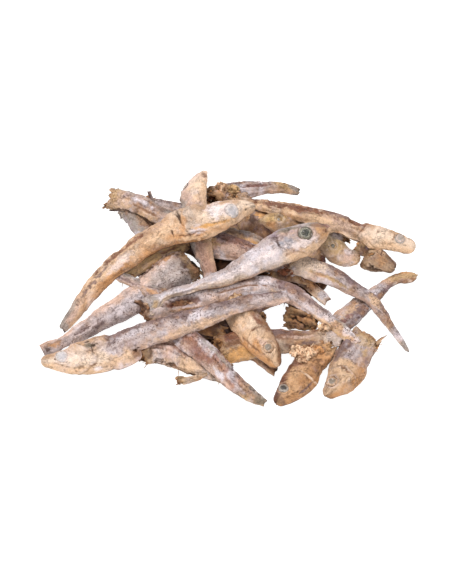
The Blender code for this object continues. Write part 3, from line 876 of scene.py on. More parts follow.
# Painted shade: the near-black tone of this shred stands for the shadow under the fish above it.
lay_fish(
    "dark_shred", ((-22.5, 29, 5), (-15.5, 25.2, 6), (-10, 20.3, 5.5)), LEFT, FLESH, depth=6.5,
    share=(0.3, 0.7), tone=0.3)
lay_fish(
    "dark_scrap", ((-18.6, 18, 5), (-15.2, 15, 5.5), (-12.6, 11.5, 5)), LEFT, BROWN_SKIN,
    depth=6, share=(0.3, 0.6), tone=0.4)
lay_fish(
    "brown_scrap", ((10.5, -9.5, 7), (13.2, -11.2, 6.5), (15.6, -12.8, 6)), LEFT, FLESH,
    depth=4.5, share=(0.3, 0.6), tone=0.6, crumbly=0.1, ragged=0.8)
lay_fish(
    "orange_scrap", ((8.5, 37.6, 11), (15, 37.4, 11.5), (22, 36.6, 11.5)), LEFT,
    Skin(BROWN, AMBER, ORANGE, BROWN, PEACH, 0.2), depth=7.5, share=(0.3, 0.6), crumbly=0,
    ragged=0.4)
lay_fish(
    "round_scrap", ((-12, -19, 6.5), (-6.5, -20.5, 7.5), (-1, -21.5, 7)), LEFT, FLESH, depth=6,
    share=(0, 0.4), eye=None, tone=0.78)
lay_fish(
    "link_scrap", ((55.5, 23, 10.5), (58.5, 20.5, 9.8), (61.5, 18.5, 8.5)), LEFT, BROWN_SKIN,
    depth=6, share=(0.3, 0.65), tone=0.6, crumbly=0.1, ragged=0.6)
lay_fish(
    "stump_splinter", ((-41, 47, 6), (-46, 48.6, 5), (-50.5, 49.2, 4.2)), LEFT, BROWN_SKIN,
    depth=5, share=(0.6, 1), tone=0.6)
lay_fish(
    "ridge_splinter", ((-30, 48.5, 7.5), (-32.5, 51, 10), (-33.5, 53, 12)), LEFT, VIOLET_SKIN,
    depth=4.5, share=(0.6, 1), tone=0.7)
lay_fish(
    "head_splinter", ((60, -29.5, 6.8), (62.5, -26, 7.4), (64.8, -24, 7.6)), LEFT, TAN_SKIN,
    depth=3, share=(0.6, 1), fin=0.3, fork=0)

# The big headless fish at the left, its belly torn open and its back down, with the tail
# of another fish across it.
lay_fish(
    "left", ((-16, 13, 10), (-24, 8, 9.5), (-36, -1.5, 6), (-51, -12, 3.6), (-63, -20.5, 2.3),
    (-75, -27.5, 1.8)), LEFT, Skin(VIOLET_GREY, VIOLET_GREY, PINK, BROWN, LILAC, 0.95), depth=15,
    tone=1.1, crumpled=0.6, crumbly=0.1, share=(0.15, 1), ragged=0.5, flesh=BROWN, slim=0.85,
    fin=1.6, lean=(-20, -20), marks=(
        Mark(0.22, 8, 9, 7, None, -2, ragged=0.05),
        Mark(0.27, 70, 10, 7, GREY_SKIN, strength=0.6),
        Mark(0.16, 85, 3.6, 12, DARK_BROWN, strength=0.95), Mark(0.25, 150, 7, 2.4, ORANGE, 1.2),
        Mark(0.33, 165, 6, 1.6, DARK_BROWN, 0.8), Mark(0.55, 80, 12, 2.6, LILAC, strength=0.5),
        Mark(0.69, 62, 3.5, 1.2, DARK_VIOLET), Mark(0.78, 90, 3, 1, DARK_VIOLET, 0.3),
        Mark(0.93, 100, 3.4, 1.5, ORANGE, 0.3), Mark(0.99, 80, 1.2, 2, DARK_BROWN),
        Mark(0.55, 28, 20, 1.6, DARK_VIOLET, strength=0.6, ragged=0.9)))
lay_fish(
    "crossing", ((-24.5, -4.8, 8.2), (-32, -1.5, 9.5), (-39, 3, 10), (-47, 9, 8.5)), RIGHT,
    PINK_SKIN, depth=10, crumbly=0, ragged=0.5, tone=0.88, share=(0.5, 1), marks=(
        Mark(0.62, 100, 3, 1.2, ORANGE), Mark(0.7, 60, 5, 0.8, DARK_VIOLET, 0.4),
        Mark(0.85, 110, 5, 0.8, DARK_VIOLET, 0.3)))

# Fish in the middle of the heap that the big ones half cover: one brown body, and two
# small yellow heads behind the large head.
MOSS = (88, 82, 66)
SPECKLED_SKIN = Skin(DARK_VIOLET, RUSSET, PINK, MAROON, LILAC, 1)
GREY_TAN_SKIN = Skin(GREY_SKIN, TAN, YELLOW_TAN, BROWN, LILAC, 0.5)
YELLOW_SKIN = Skin(OLIVE_GREY, YELLOW_TAN, TAN, GREY_SKIN, PALE_PEACH, 0.3)

# A head's bones, in mm: the gill cover's edge and the cheek's ridge bow forwards, and the
# mouth and the throat slope down from the snout.
COVER_HIGH, COVER_DEEP, COVER_BOW = 0.36, 0.24, 0.36
CHEEK_HIGH, CHEEK_AT, CHEEK_BOW = 0.24, 0.67, 0.5
MOUTH_DEEP, LIP_HIGH, MOUTH_LOW, MOUTH_SLOPE = 0.32, 0.16, 0.09, 1.55
THROAT_DEEP, THROAT_LOW, THROAT_SLOPE = 0.25, 0.24, 0.75
SOCKET_DEEP, RIM_HIGH = 0.75, 0.26
BONES_HIGH = 0.16


def head_relief(body):
    """The gill cover, cheek, jaws and eye sockets of a head in mm, and its dark lines."""
    fish, share, whole, depth = body.fish, body.share, body.path.whole, body.fish.depth
    h = body.height / depth
    uneven = 0.8 * rough(body.smooth, 3.0, body.seed + 44, 3)
    kept = fish.crisp * ramp(rough(body.smooth, 3.5, body.seed + 43, 2), -0.75, 0.25)
    side = ramp(np.abs(np.sin(body.turn)), 0.15, 0.6)

    behind = (share - (fish.gill - COVER_BOW * (h + 0.03) ** 2)) * whole + uneven
    cover = COVER_HIGH * ramp(behind, -4.5, -0.6) * (1 - ramp(behind, -0.5, 0.5))
    cover = cover - COVER_DEEP * kept * bell(behind - 0.45, 0.5)
    cheek = (share - (fish.gill * CHEEK_AT - CHEEK_BOW * (h + 0.05) ** 2)) * whole + uneven
    ridge = CHEEK_HIGH * bell(cheek, 0.6) * (1 - ramp(np.abs(h + 0.05), 0.22, 0.34))

    jaw = (h + MOUTH_LOW + MOUTH_SLOPE * share) * depth + 0.6 * uneven
    in_jaw = 1 - ramp(share, 0.13, 0.16)
    mouth = (LIP_HIGH * bell(jaw - 0.9, 0.5) - MOUTH_DEEP * kept * bell(jaw, 0.34)) * in_jaw
    throat = (h + THROAT_LOW + THROAT_SLOPE * share) * depth + uneven
    in_throat = ramp(share, 0.07, 0.1) * (1 - ramp(share, 0.2, 0.23))
    under = -THROAT_DEEP * kept * bell(throat, 0.4) * in_throat

    eye_at, rise = fish.eye
    from_eye = np.hypot((share - eye_at) * whole, (h - rise) * depth) / (fish.eye_size * depth)
    from_eye = from_eye + 0.12 * uneven + 0.1 * rough(body.smooth, 0.9, body.seed + 48, 2)
    rim = RIM_HIGH * (0.3 + 0.7 * fish.crisp) * bell(from_eye - 1.22, 0.13)
    socket = rim - SOCKET_DEEP * (1 - ramp(from_eye, 0.8, 1.06))
    bones = BONES_HIGH * rough(body.run * (0.7, 0.35, 0.35), 1.0, body.seed + 41, 2)
    bones = bones * (1 - ramp(share, GILL - 0.03, GILL))

    lines = np.maximum.reduce((
        0.3 * bell(behind - 0.35, 0.38),
        0.35 * bell(jaw, 0.3) * in_jaw,
        0.2 * bell(throat, 0.35) * in_throat,
        0.25 * bell(from_eye - 1.12, 0.18),
    ))
    lines = lines * side * (1 - ramp(share, 0.25, 0.27)) * kept
    lines = lines * ramp(rough(body.smooth, 1.6, body.seed + 46, 3), -0.2, 0.5)
    return (cover + ridge + mouth + under + socket) * side + bones, lines


lay_fish(
    "middle", ((-16, 33, 10.5), (-5, 22, 12.5), (8, 17, 12.5), (18, 12, 12), (29, 7, 10.5),
    (36, 2, 7.5), (42, -3, 4.5)), LEFT, SPECKLED_SKIN, tail_skin=TAN_SKIN, share=(0.1, 1),
    tone=1.06, marks=(
        Mark(0.45, 100, 9, 2.4, PINK, strength=0.8),
        Mark(0.3, 100, 5, 2, YELLOW_TAN, ragged=0.9, strength=0.7),
        Mark(0.42, 50, 8, 2, RED_BROWN, strength=0.4), Mark(0.87, 72, 3, 2, ORANGE),
        Mark(0.84, 150, 4, 1.6, DARK_BROWN), Mark(0.97, 80, 2.4, 2.4, LILAC)))
lay_fish(
    "middle_upper", ((-9, 28, 10), (8, 23.5, 11.5), (24, 16.5, 10.5)), LEFT, GREY_TAN_SKIN,
    depth=11.5, share=(0.3, 0.7), tone=0.95, marks=(
        Mark(0.53, 95, 5, 2, AMBER), Mark(0.45, 50, 8, 1.6, DARK_BROWN, strength=0.5)))
lay_fish(
    "yellow", ((15, 34.6, 12.8), (25, 34, 12.2), (38, 33, 9.5), (52, 32, 5.5)), LEFT,
    GREY_TAN_SKIN, Skin(YELLOW_TAN, GOLD, TAN, GREY_SKIN, PALE_PEACH, 0.2), depth=11, crisp=0.3,
    share=(0, 0.9), eye=(0.177, 0.04), eye_size=0.12, eye_colours=(MOSS, OLIVE_GREY, YELLOW_TAN),
    marks=(
        Mark(0.1, 120, 3, 1.6, ORANGE), Mark(0.6, 60, 20, 2.4, DARK_BROWN)))
lay_fish(
    "pink", ((38.5, 23, 15.5), (45, 18.5, 13.5), (50, 16.5, 10), (55.5, 17, 8.5)), LEFT,
    PINK_SKIN, YELLOW_SKIN, depth=10.5, crisp=0.25, crumbly=0.1, ragged=0.5, share=(0, 0.42),
    slim=-0.5, eye=(0.155, 0.02), eye_size=0.13, eye_colours=(MOSS, OLIVE_GREY, YELLOW_TAN),
    marks=(
        Mark(0.3, 70, 3, 1, LILAC), Mark(0.33, 90, 4, 3, ROSE, strength=0.5),
        Mark(0.42, 100, 0.8, 3, OLIVE_GREY)))

# Two tails that cross at the right, and the round brown end of a broken fish.
lay_fish(
    "tail_up", ((43, -22.5, 5.3), (49, -12.5, 4), (56, -4.5, 3.5), (63, 3, 3), (71, 10, 2.5),
    (77.5, 12, 2.5)), RIGHT, VIOLET_SKIN, tail_skin=ORANGE_SKIN, depth=11, fin=2.2, fork=-4,
    tone=0.95, share=(0.2, 1), lean=(-10, 10), marks=(
        Mark(0.45, 70, 6, 1.8, DARK_VIOLET), Mark(0.5, 110, 4, 1.2, ORANGE, strength=0.6),
        Mark(0.42, 95, 5, 1.6, PEACH, strength=0.7, ragged=0.9),
        Mark(0.36, 75, 5, 1, MAROON, ragged=0.9), Mark(0.7, 70, 4, 1, LILAC),
        Mark(0.94, 100, 6, 2.4, YELLOW_TAN)))
lay_fish(
    "right_tail", ((26.5, 11, 12.6), (35.5, 7.2, 13.6), (45, 3.5, 12), (52, 0, 9.3),
    (60, -4.3, 7), (67, -14, 3.7), (74, -25.5, 0.9)), LEFT, VIOLET_SKIN, tail_skin=GREY_TAN_SKIN,
    depth=10, share=(0.26, 1), crumbly=0.1, ragged=0.8, slim=0.8, fin=0.7, fork=-1.5, marks=(
        Mark(0.33, 75, 9, 6, PALE_PEACH, strength=0.95), Mark(0.5, 115, 9, 1, YELLOW_TAN, 0.3),
        Mark(0.42, 120, 5, 1, ORANGE, 0.3, strength=0.4), Mark(0.72, 70, 4, 1.6, PEACH),
        Mark(0.98, 80, 3, 2, GREY_SKIN)))
lay_fish(
    "round_stump", ((69.3, 15.6, 5.6), (65, 18, 6), (59.5, 20.8, 6.2)), RIGHT,
    Skin(BROWN, TAN, PEACH, BROWN, PALE_PEACH, 1), depth=11, share=(0, 0.38), thin=1.5,
    blunt=0.05, tone=0.66, eye=None, crumpled=0.9, ragged=0.2, crumbly=0, marks=(
        Mark(0.21, 140, 1.6, 1.3, NEAR_BLACK, 1.6, ragged=0.8),
        Mark(0.13, 95, 2.2, 3, ORANGE, strength=0.6), Mark(0.2, 165, 5, 1, DARK_BROWN, 0.6),
        Mark(0.22, 60, 4, 1.6, TAN, -0.3), Mark(0.3, 90, 2, 0.5, NEAR_BLACK, 0.9, 30)))

# The torn pieces at the back left: a stump whose open end sticks out, and a thin grey
# ridge of another fish behind it.
lay_fish(
    "stump", ((-50, 53.4, 6.8), (-38, 46.5, 10.4), (-28, 37.5, 12.8), (-17, 29.5, 12.8)), LEFT,
    PINK_SKIN, depth=10.5, share=(0.3, 0.75), ragged=2.4, tone=0.84, marks=(
        Mark(0.33, 70, 3, 3.5, YELLOW_TAN), Mark(0.305, 150, 1.6, 1.4, DARK_BROWN),
        Mark(0.5, 78, 6, 0.9, LILAC, -0.3), Mark(0.53, 112, 7, 0.7, BROWN, 0.6),
        Mark(0.4, 165, 6, 0.8, DARK_BROWN, 0.4)))
lay_fish(
    "ridge", ((-34, 50.5, 6), (-28, 47.5, 7.5), (-17, 43.5, 9.5), (-4, 39.5, 9)), LEFT,
    VIOLET_SKIN, depth=9, share=(0.35, 0.85))
lay_fish(
    "top_tail", ((-6, 51.5, 9.5), (3, 56.5, 8), (13, 60, 6.3), (23, 62.8, 4.5), (31.5, 62.5, 2)),
    LEFT, VIOLET_SKIN, tail_skin=YELLOW_SKIN, depth=11.5, fin=1.05, fork=-1.2, share=(0.45, 1),
    ragged=3, marks=(
        Mark(0.48, 100, 3.5, 3, ORANGE, -0.8, ragged=0.8),
        Mark(0.465, 60, 1.6, 1.6, NEAR_BLACK, 0.8), Mark(0.6, 104, 2, 0.8, DARK_VIOLET, 0.3),
        Mark(0.635, 76, 2.6, 1, LILAC), Mark(0.73, 80, 6, 0.8, MAROON, 0.3),
        Mark(0.9, 60, 4, 2.2, YELLOW_TAN), Mark(0.98, 70, 2.4, 2.6, GREY_SKIN)))

# The loose heads at the front, broken off behind the gills, and the tails that lie over
# and under them.
APRICOT = (224, 174, 128)
DULL_EYE = (118, 103, 88)
DULL_RIM = (146, 122, 100)
PEACH_SKIN = Skin(TAN, PALE_PEACH, PEACH, TAN, PALE_PINK, 0.35)
AMBER_SKIN = Skin(TAN, PEACH, ORANGE, TAN, PALE_PEACH, 0.4)
RUSSET_SKIN = Skin(DARK_VIOLET, RUSSET, PINK, MAROON, LILAC, 0.9)

lay_fish(
    "low_tail", ((-3, -30, 5), (8, -27, 5.3), (20, -25.5, 6.3), (30, -26.3, 7.6),
    (39, -25.5, 8.3), (47, -26.7, 8)), LEFT, TAN_SKIN, tail_skin=PEACH_SKIN, share=(0.25, 1),
    tone=0.73, depth=13, slim=1.12, marks=(
        Mark(0.64, 72, 7, 3, RED_BROWN, strength=0.7), Mark(0.6, 50, 8, 1.8, DARK_VIOLET),
        Mark(0.75, 80, 7, 0.8, PINK, -0.2), Mark(0.33, 65, 9, 3, RED_BROWN, strength=0.7),
        Mark(0.36, 135, 9, 3, AMBER), Mark(0.33, 80, 5, 1, BROWN, 0.5),
        Mark(0.8, 120, 5, 0.8, DARK_VIOLET, 0.3)))
lay_fish(
    "diagonal", ((-20, -21, 7.5), (-14, -28, 8.5), (-6, -36, 8.5), (1, -43, 5.5),
    (8, -48.5, 2.4), (15.5, -53, 1.2)), LEFT, RUSSET_SKIN, tail_skin=GREY_TAN_SKIN, depth=11.5,
    crumpled=1.15, slim=1.15, fin=0.75, fork=0.3, share=(0.3, 1), marks=(
        Mark(0.42, 95, 9, 3.4, RED_BROWN, strength=0.6),
        Mark(0.55, 110, 5, 1.6, MAROON, strength=0.6), Mark(0.69, 125, 3.4, 1.2, LILAC),
        Mark(0.73, 25, 1.3, 1.2, None, 1.2), Mark(0.6, 50, 10, 0.9, GREY_SKIN),
        Mark(0.97, 100, 3, 1.6, OLIVE_GREY)))
lay_fish(
    "mid_head", ((21.6, -52.7, 3.2), (26, -48, 4.1), (30, -42.2, 4.1), (34, -35, 4.7),
    (40, -28, 5.2)), LEFT, Skin(RED_BROWN, APRICOT, ORANGE, BROWN, PEACH, 0.4), depth=14,
    share=(0, 0.45), crumpled=1.3, crisp=0.8, blunt=0.02, crumbly=0.5, gill=0.2, tone=0.8,
    lean=(10, 10), eye=(0.055, 0.15), eye_size=0.15,
    eye_colours=(NEAR_BLACK, OLIVE_GREY, GREY_SKIN), ragged=3, marks=(
        Mark(0.36, 80, 5, 5, ORANGE, -0.4, ragged=0.8), Mark(0.4, 60, 3, 3, RED_BROWN),
        Mark(0.2, 115, 0.5, 4, PALE_PEACH, -0.3),
        Mark(0.0, 80, 0.8, 4, DARK_BROWN, strength=0.6, ragged=0.8),
        Mark(0.14, 140, 4, 0.5, DARK_VIOLET, 0.3)))
lay_fish(
    "right_head", ((41.2, -49.3, 4), (45.3, -44.6, 4.5), (49, -38, 4.5), (52, -32, 5.5),
    (57, -24, 6.5)), LEFT, VIOLET_SKIN, AMBER_SKIN, depth=15, share=(0, 0.5), gill=0.19,
    tone=0.86, lean=(10, 10), eye=(0.05, 0.12), eye_size=0.15, crisp=0.8, blunt=0.02,
    crumbly=0.1, ragged=1.3, eye_colours=(DULL_EYE, DULL_RIM, TAN), marks=(
        Mark(0.25, 146, 1.8, 2, ORANGE, 0.5), Mark(0.44, 100, 4, 4, YELLOW_TAN, ragged=0.7),
        Mark(0.17, 90, 0.35, 4, BROWN, 0.3, jagged=0.7), Mark(0.31, 35, 6, 1.6, DARK_VIOLET),
        Mark(0.35, 90, 5, 2, LILAC, strength=0.2)))
lay_fish(
    "down_head", ((19.6, -36.6, 7.2), (17, -32.4, 9), (13, -26.4, 10), (9, -20, 10.5),
    (5, -12.5, 9.5), (2.5, -6, 8.6)), RIGHT, ORANGE_SKIN, depth=14, share=(0, 0.52), gill=0.21,
    eye=(0.08, 0.05), eye_size=0.155, crisp=0.45, blunt=0.02, tone=0.97,
    eye_colours=(DULL_EYE, DULL_RIM, TAN), marks=(
        Mark(0.21, 80, 0.35, 3, BROWN, 0.4, jagged=0.7), Mark(0.24, 55, 3, 1.4, RED_BROWN),
        Mark(0.17, 135, 8, 0.35, BROWN, 0.4, 6), Mark(0.12, 90, 2.4, 1.6, PINK),
        Mark(0.3, 90, 4, 2.5, PALE_PEACH, strength=0.5),
        Mark(0.3, 145, 6, 3, PEACH, strength=0.7)))

# The fish that stands out at the top with its head up, and the long one behind the heap
# whose head points right.
BEIGE = (196, 175, 160)

lay_fish(
    "upright", ((-10, 60, 15.5), (-14, 48.5, 16.5), (-13, 34, 17), (-10, 20, 14.3), (-5, 1, 8)),
    RIGHT, PINK_SKIN, PINK_SKIN, depth=13, share=(0, 0.9), slim=0.88, lean=(-40, -20), crisp=0.2,
    crumpled=0.6, eye=(0.15, 0.24), eye_colours=(GREY_SKIN, PINK, DARK_BROWN), marks=(
        Mark(0.06, 150, 2.6, 1.5, RED_BROWN, 0.4),
        Mark(0.19, 30, 3.4, 2.4, DARK_BROWN, -0.5, ragged=0.3),
        Mark(0.19, 36, 2.6, 1.5, BEIGE, ragged=0.3), Mark(0.1, 45, 1.6, 0.5, DARK_BROWN, 0.5),
        Mark(0.18, 120, 8, 3, PALE_PEACH, strength=0.7),
        Mark(0.74, 90, 12, 4, RUSSET, strength=0.7), Mark(0.87, 90, 4, 3, LILAC, strength=0.7)))
lay_fish(
    "top_right", ((77.5, 23.6, 9.3), (69, 25.6, 11), (57, 27.2, 13), (45, 32, 15.2),
    (31, 36, 16), (3, 46, 14.6)), RIGHT, TAN_SKIN, PEACH_SKIN, depth=10.5, share=(0, 0.95),
    lean=(14, 20), head=1.14, gill=0.25, crumpled=0.8, tone=1.03, slim=0.92, blunt=0.05,
    eye=(0.055, 0.11), eye_size=0.23, eye_colours=(GREY_SKIN, PINK, GREY_SKIN), marks=(
        Mark(0.088, 78, 0.45, 2.2, BROWN, 0.3, jagged=0.3),
        Mark(0.065, 50, 1.8, 0.5, ORANGE, 0.2),
        Mark(0.262, 95, 0.35, 4, CREASE_AND_SHADE_BROWN, 0.5, -20, 0.5, jagged=0.6),
        Mark(0.3, 175, 8, 5, None, 1.4, ragged=0.05),
        Mark(0.3, 15, 4, 4, None, 0.7, ragged=0.05),
        Mark(0.6, 62, 18, 1.5, RED_BROWN, 0.3, ragged=0.9),
        Mark(0.4, 45, 8, 1.2, DARK_VIOLET, ragged=0.9, strength=0.6),
        Mark(0.36, 100, 9, 3, PINK, strength=0.7), Mark(0.62, 140, 8, 1.4, ORANGE, strength=0.6),
        Mark(0.45, 110, 9, 1.6, PEACH)))

# The long headless fish that bends over the middle, torn open at its front end.
lay_fish(
    "long_bent", ((-34, -10.5, 6), (-21, -6, 7.8), (-5, -4.6, 9.2), (10, -1.6, 11.6),
    (23, -3.9, 12.2), (32, -10.5, 12), (42, -17.5, 10), (53, -29, 9)), LEFT, VIOLET_SKIN,
    tail_skin=GREY_TAN_SKIN, depth=12.5, slim=1.04, crumbly=0.1, flesh=BROWN, tone=1.22,
    crumpled=0.8, share=(0.22, 1), marks=(
        Mark(0.36, 106, 8, 1.8, RED_BROWN, 1.6, ragged=0.35),
        Mark(0.34, 102, 5, 1.1, DARK_BROWN, 0.5), Mark(0.32, 110, 3, 1, RED_BROWN),
        Mark(0.38, 140, 8, 0.8, ORANGE, -0.3), Mark(0.53, 45, 9, 2, BROWN),
        Mark(0.58, 135, 8, 1.3, LILAC), Mark(0.665, 120, 2, 1.5, PEACH),
        Mark(0.55, 88, 14, 0.5, BROWN, 0.4), Mark(0.8, 55, 9, 1.2, DARK_VIOLET),
        Mark(0.8, 110, 10, 1.2, LILAC, strength=0.6), Mark(0.25, 80, 3, 3, YELLOW_TAN)))

# The pale fish on top of the middle, with a big dark eye and its tail fin spread.
BLUE_GREY = (146, 146, 156)
PALE_RING = (148, 144, 128)
DARK_GREEN = (46, 50, 42)
LILAC_SKIN = Skin(VIOLET_GREY, LILAC, PALE_PEACH, VIOLET_GREY, PALE_PINK, 0.6)

lay_fish(
    "centre", ((42, 22, 22), (33, 16, 23), (22, 11, 21.7), (2, 1.5, 16.5), (-12, -3, 14),
    (-25, -5.5, 11), (-33, -10.5, 9)), RIGHT, LILAC_SKIN, PINK_SKIN, LILAC_SKIN, depth=14,
    crumpled=0.6, head=1.12, slim=0.52, fin=3.8, fork=3, crisp=0.8, tone=0.91,
    eye=(0.135, 0.055), eye_size=0.225, eye_colours=(DARK_GREEN, PALE_RING, MOSS), marks=(
        Mark(0.225, 94, 4.6, 3.4, BLUE_GREY, ragged=0.3),
        Mark(0.225, 128, 4, 0.5, BROWN, 0.35, 6, 0.5, 0.8, 0.4),
        Mark(0.268, 80, 0.5, 4.4, DARK_BROWN, 0.5, jagged=0.6),
        Mark(0.27, 60, 2.6, 1.6, DARK_VIOLET, ragged=0.8, strength=0.7),
        Mark(0.2, 40, 6, 2, VIOLET, ragged=0.8, strength=0.6), Mark(0.275, 50, 2, 1, DARK_BROWN),
        Mark(0.19, 40, 5, 1.4, OLIVE_GREY), Mark(0.16, 115, 6, 2, PALE_PINK),
        Mark(0.045, 96, 3, 3.4, AMBER, strength=0.7),
        Mark(0.12, 30, 4, 1, VIOLET_GREY, ragged=0.8), Mark(0.05, 60, 3, 1.6, BROWN),
        Mark(0.035, 90, 4, 6, BROWN, strength=0.5), Mark(0.02, 60, 1.6, 1.2, MAROON, ragged=0.8),
        Mark(0.035, 110, 2, 1, RED_BROWN, 0.3, ragged=0.9, strength=0.6),
        Mark(0.5, 168, 20, 0.8, ORANGE, strength=0.4), Mark(0.45, 100, 18, 1.6, PALE_PINK),
        Mark(0.65, 60, 12, 1, VIOLET_GREY, ragged=0.8), Mark(0.97, 90, 4, 5, GREY_SKIN),
        Mark(0.96, 110, 3, 2, YELLOW_TAN)))

# The peach fish that runs from the top down to the left, cracked across its neck.
CLOUDED = (178, 171, 173)
MILKY = (198, 187, 183)

lay_fish(
    "top_left", ((10, 33.9, 22.3), (0, 29.3, 23.5), (-12, 23, 23), (-26, 21, 20),
    (-41, 13.5, 14), (-54, 4, 7.3), (-67.6, -15.4, 1.2)), RIGHT, AMBER_SKIN, PEACH_SKIN,
    PINK_SKIN, depth=13.5, slim=1, fin=0.95, fork=0.6, eye=(0.094, -0.06), eye_size=0.225,
    crisp=0.4, blunt=0.015, crumpled=0.65, head=1.1, eye_colours=(CLOUDED, MILKY, MILKY), marks=(
        Mark(0.275, 70, 3.4, 7, BEIGE), Mark(0.29, 12, 9, 6, None, -1.7, ragged=0.05),
        Mark(0.25, 120, 2.6, 2, LILAC, strength=0.7), Mark(0.03, 110, 0.4, 0.4, NEAR_BLACK),
        Mark(0.02, 80, 0.4, 0.4, DARK_BROWN), Mark(0.15, 74, 5.4, 4.2, PALE_PINK, strength=1),
        Mark(0.19, 118, 7, 0.9, AMBER, 0.2, -10, 1),
        Mark(0.19, 138, 6, 1.4, ORANGE, slant=-12, strength=0.5),
        Mark(0.312, 60, 0.36, 8, NEAR_BLACK, 0.8, 15, ragged=0.5, jagged=0.6),
        Mark(0.32, 66, 0.25, 2.6, DARK_BROWN, 0.4, 25, ragged=0.5, jagged=0.9),
        Mark(0.358, 110, 0.4, 3, DARK_BROWN, 0.6, 10, jagged=0.6),
        Mark(0.305, 92, 1.8, 4, ORANGE), Mark(0.29, 146, 5, 1.2, PEACH, -0.6),
        Mark(0.29, 128, 6, 0.3, BROWN, 0.5, jagged=0.5),
        Mark(0.52, 82, 1.4, 0.8, PALE_PEACH, -0.2),
        Mark(0.62, 100, 7, 2, PALE_PINK, strength=0.6),
        Mark(0.6, 46, 12, 1.1, RED_BROWN, 0.3, ragged=0.9),
        Mark(0.76, 66, 10, 0.9, DARK_VIOLET, 0.3, ragged=0.9),
        Mark(0.5, 70, 7, 2, BROWN, ragged=0.9, strength=0.4),
        Mark(0.68, 130, 8, 0.8, ORANGE, -0.2), Mark(0.99, 90, 1.6, 3, GREY_SKIN)))

# The long fish at the front, whole from its snout to its thin tail, with a torn belly.
lay_fish(
    "front_left", ((-72.6, -33.3, 3.2), (-62, -33.5, 3.7), (-49, -31.5, 5), (-31, -25, 9.5),
    (-11, -20, 13.5), (8, -14.3, 16.2), (25, -9.8, 16.4)), LEFT, VIOLET_SKIN, PEACH_SKIN,
    depth=12.5, lean=(25, 20), head=1.12, flap=0.36, slim=1.14, blunt=0.012, gill=0.2,
    eye=(0.063, 0.12), eye_size=0.2, crisp=1, crumpled=0.85,
    eye_colours=(CLOUDED, CLOUDED, MILKY), marks=(
        Mark(0.18, 8, 10, 5, None, -1.5, ragged=0.05),
        Mark(0.036, 86, 0.5, 0.6, DARK_BROWN, 0.3),
        Mark(0.173, 30, 2.3, 0.5, NEAR_BLACK, 0.6, jagged=0.5),
        Mark(0.2, 56, 1.9, 0.45, NEAR_BLACK, 0.4, jagged=0.5),
        Mark(0.19, 72, 0.42, 1.9, DARK_BROWN, 0.4, jagged=0.5),
        Mark(0.178, 52, 1.6, 0.9, OLIVE_GREY), Mark(0.19, 123, 2.8, 0.4, BROWN, 0.4, jagged=0.5),
        Mark(0.2, 140, 1.9, 0.9, PALE_PINK, -0.3), Mark(0.116, 143, 0.5, 0.5, BROWN),
        Mark(0.243, 116, 0.4, 0.4, DARK_BROWN),
        Mark(0.284, 100, 0.7, 1.5, DARK_VIOLET, strength=0.6), Mark(0.29, 136, 6, 3, PEACH),
        Mark(0.31, 172, 6, 4, None, -1.3, ragged=0.1), Mark(0.345, 140, 2.2, 1.6, BROWN, 0.4),
        Mark(0.358, 130, 1.6, 0.4, DARK_BROWN, 0.8, 30, jagged=0.4),
        # Painted highlights: the two lilac streaks at 0.36 and 0.65 of its length.
        Mark(0.36, 62, 6, 1.5, LILAC, strength=0.6), Mark(0.65, 80, 7, 1.5, LILAC, strength=0.6),
        Mark(0.75, 59, 5, 1.4, DARK_VIOLET, strength=0.6),
        Mark(0.5, 35, 14, 1.1, DARK_VIOLET, strength=0.6),
        Mark(0.62, 138, 18, 2, PEACH, strength=0.7)))

# The eyes of all the heads: low domes that drying has clouded, each in its socket.
EYE_RINGS = 14
EYE_SIDES = 60
EYE_DOME = 0.22  # how far the dome rises above its rim, as a share of its radius
DOME_CURVE, DOME_STRETCH, DOME_TIP = 1.25, 1.6, 1.78
EYE_SUNK = 0.75  # mm below the smooth skin
EYE_BURIED = 0.8
DARK_PUPILS = (NEAR_BLACK, DARK_GREEN, MOSS)


def eye_domes():
    """Every head's two eyes as one set of places, faces and colours."""
    far = ((np.arange(EYE_RINGS) + 0.5) / (EYE_RINGS - 0.5))[:, None]
    turn = (math.tau * np.arange(EYE_SIDES) / EYE_SIDES)[None, :]
    reach = np.concatenate((np.repeat(far, EYE_SIDES), np.ones(EYE_SIDES), (0, 1)))
    shapes = []
    for fish, body in heap_fish:
        if fish.share[0] > 0 or not fish.eye:
            continue
        share, rise = fish.eye
        path = body.path
        along, back, side = path.frame(path.part(share))
        above, below, wide = half_sizes(fish, np.array(share))
        cosine = rise * fish.depth / (above if rise > 0 else below)
        sine = math.sqrt(1 - cosine**2)
        radius = fish.eye_size * fish.depth
        uneven = 1 + 0.05 * np.sin(2 * turn + len(fish.name)) + 0.02 * np.sin(3 * turn + share * 90)
        dome = EYE_DOME * radius * DOME_STRETCH * np.sqrt(np.maximum(DOME_CURVE - far**2, 0))
        top = EYE_DOME * radius * DOME_TIP
        for out in (side, -side):
            normal = unit(back * cosine / above + out * sine / wide)
            level = unit(np.cross(normal, along)) * radius
            onward = unit(np.cross(level, normal)) * radius
            centre = path.place(path.part(share)) + back * rise * fish.depth + out * wide * sine
            centre = centre - normal * EYE_SUNK
            across = np.cos(turn)[..., None] * level + np.sin(turn)[..., None] * onward
            rings = centre + across * (far * uneven)[..., None] + normal * dome[..., None]
            bottom = centre - normal * EYE_BURIED
            rings = np.concatenate((rings, bottom + across * 0.9))
            eye, faces = closed(rings, centre + normal * top, bottom)
            shapes.append((eye, faces, eye_colours(fish, reach, eye)))
    return joined(shapes)


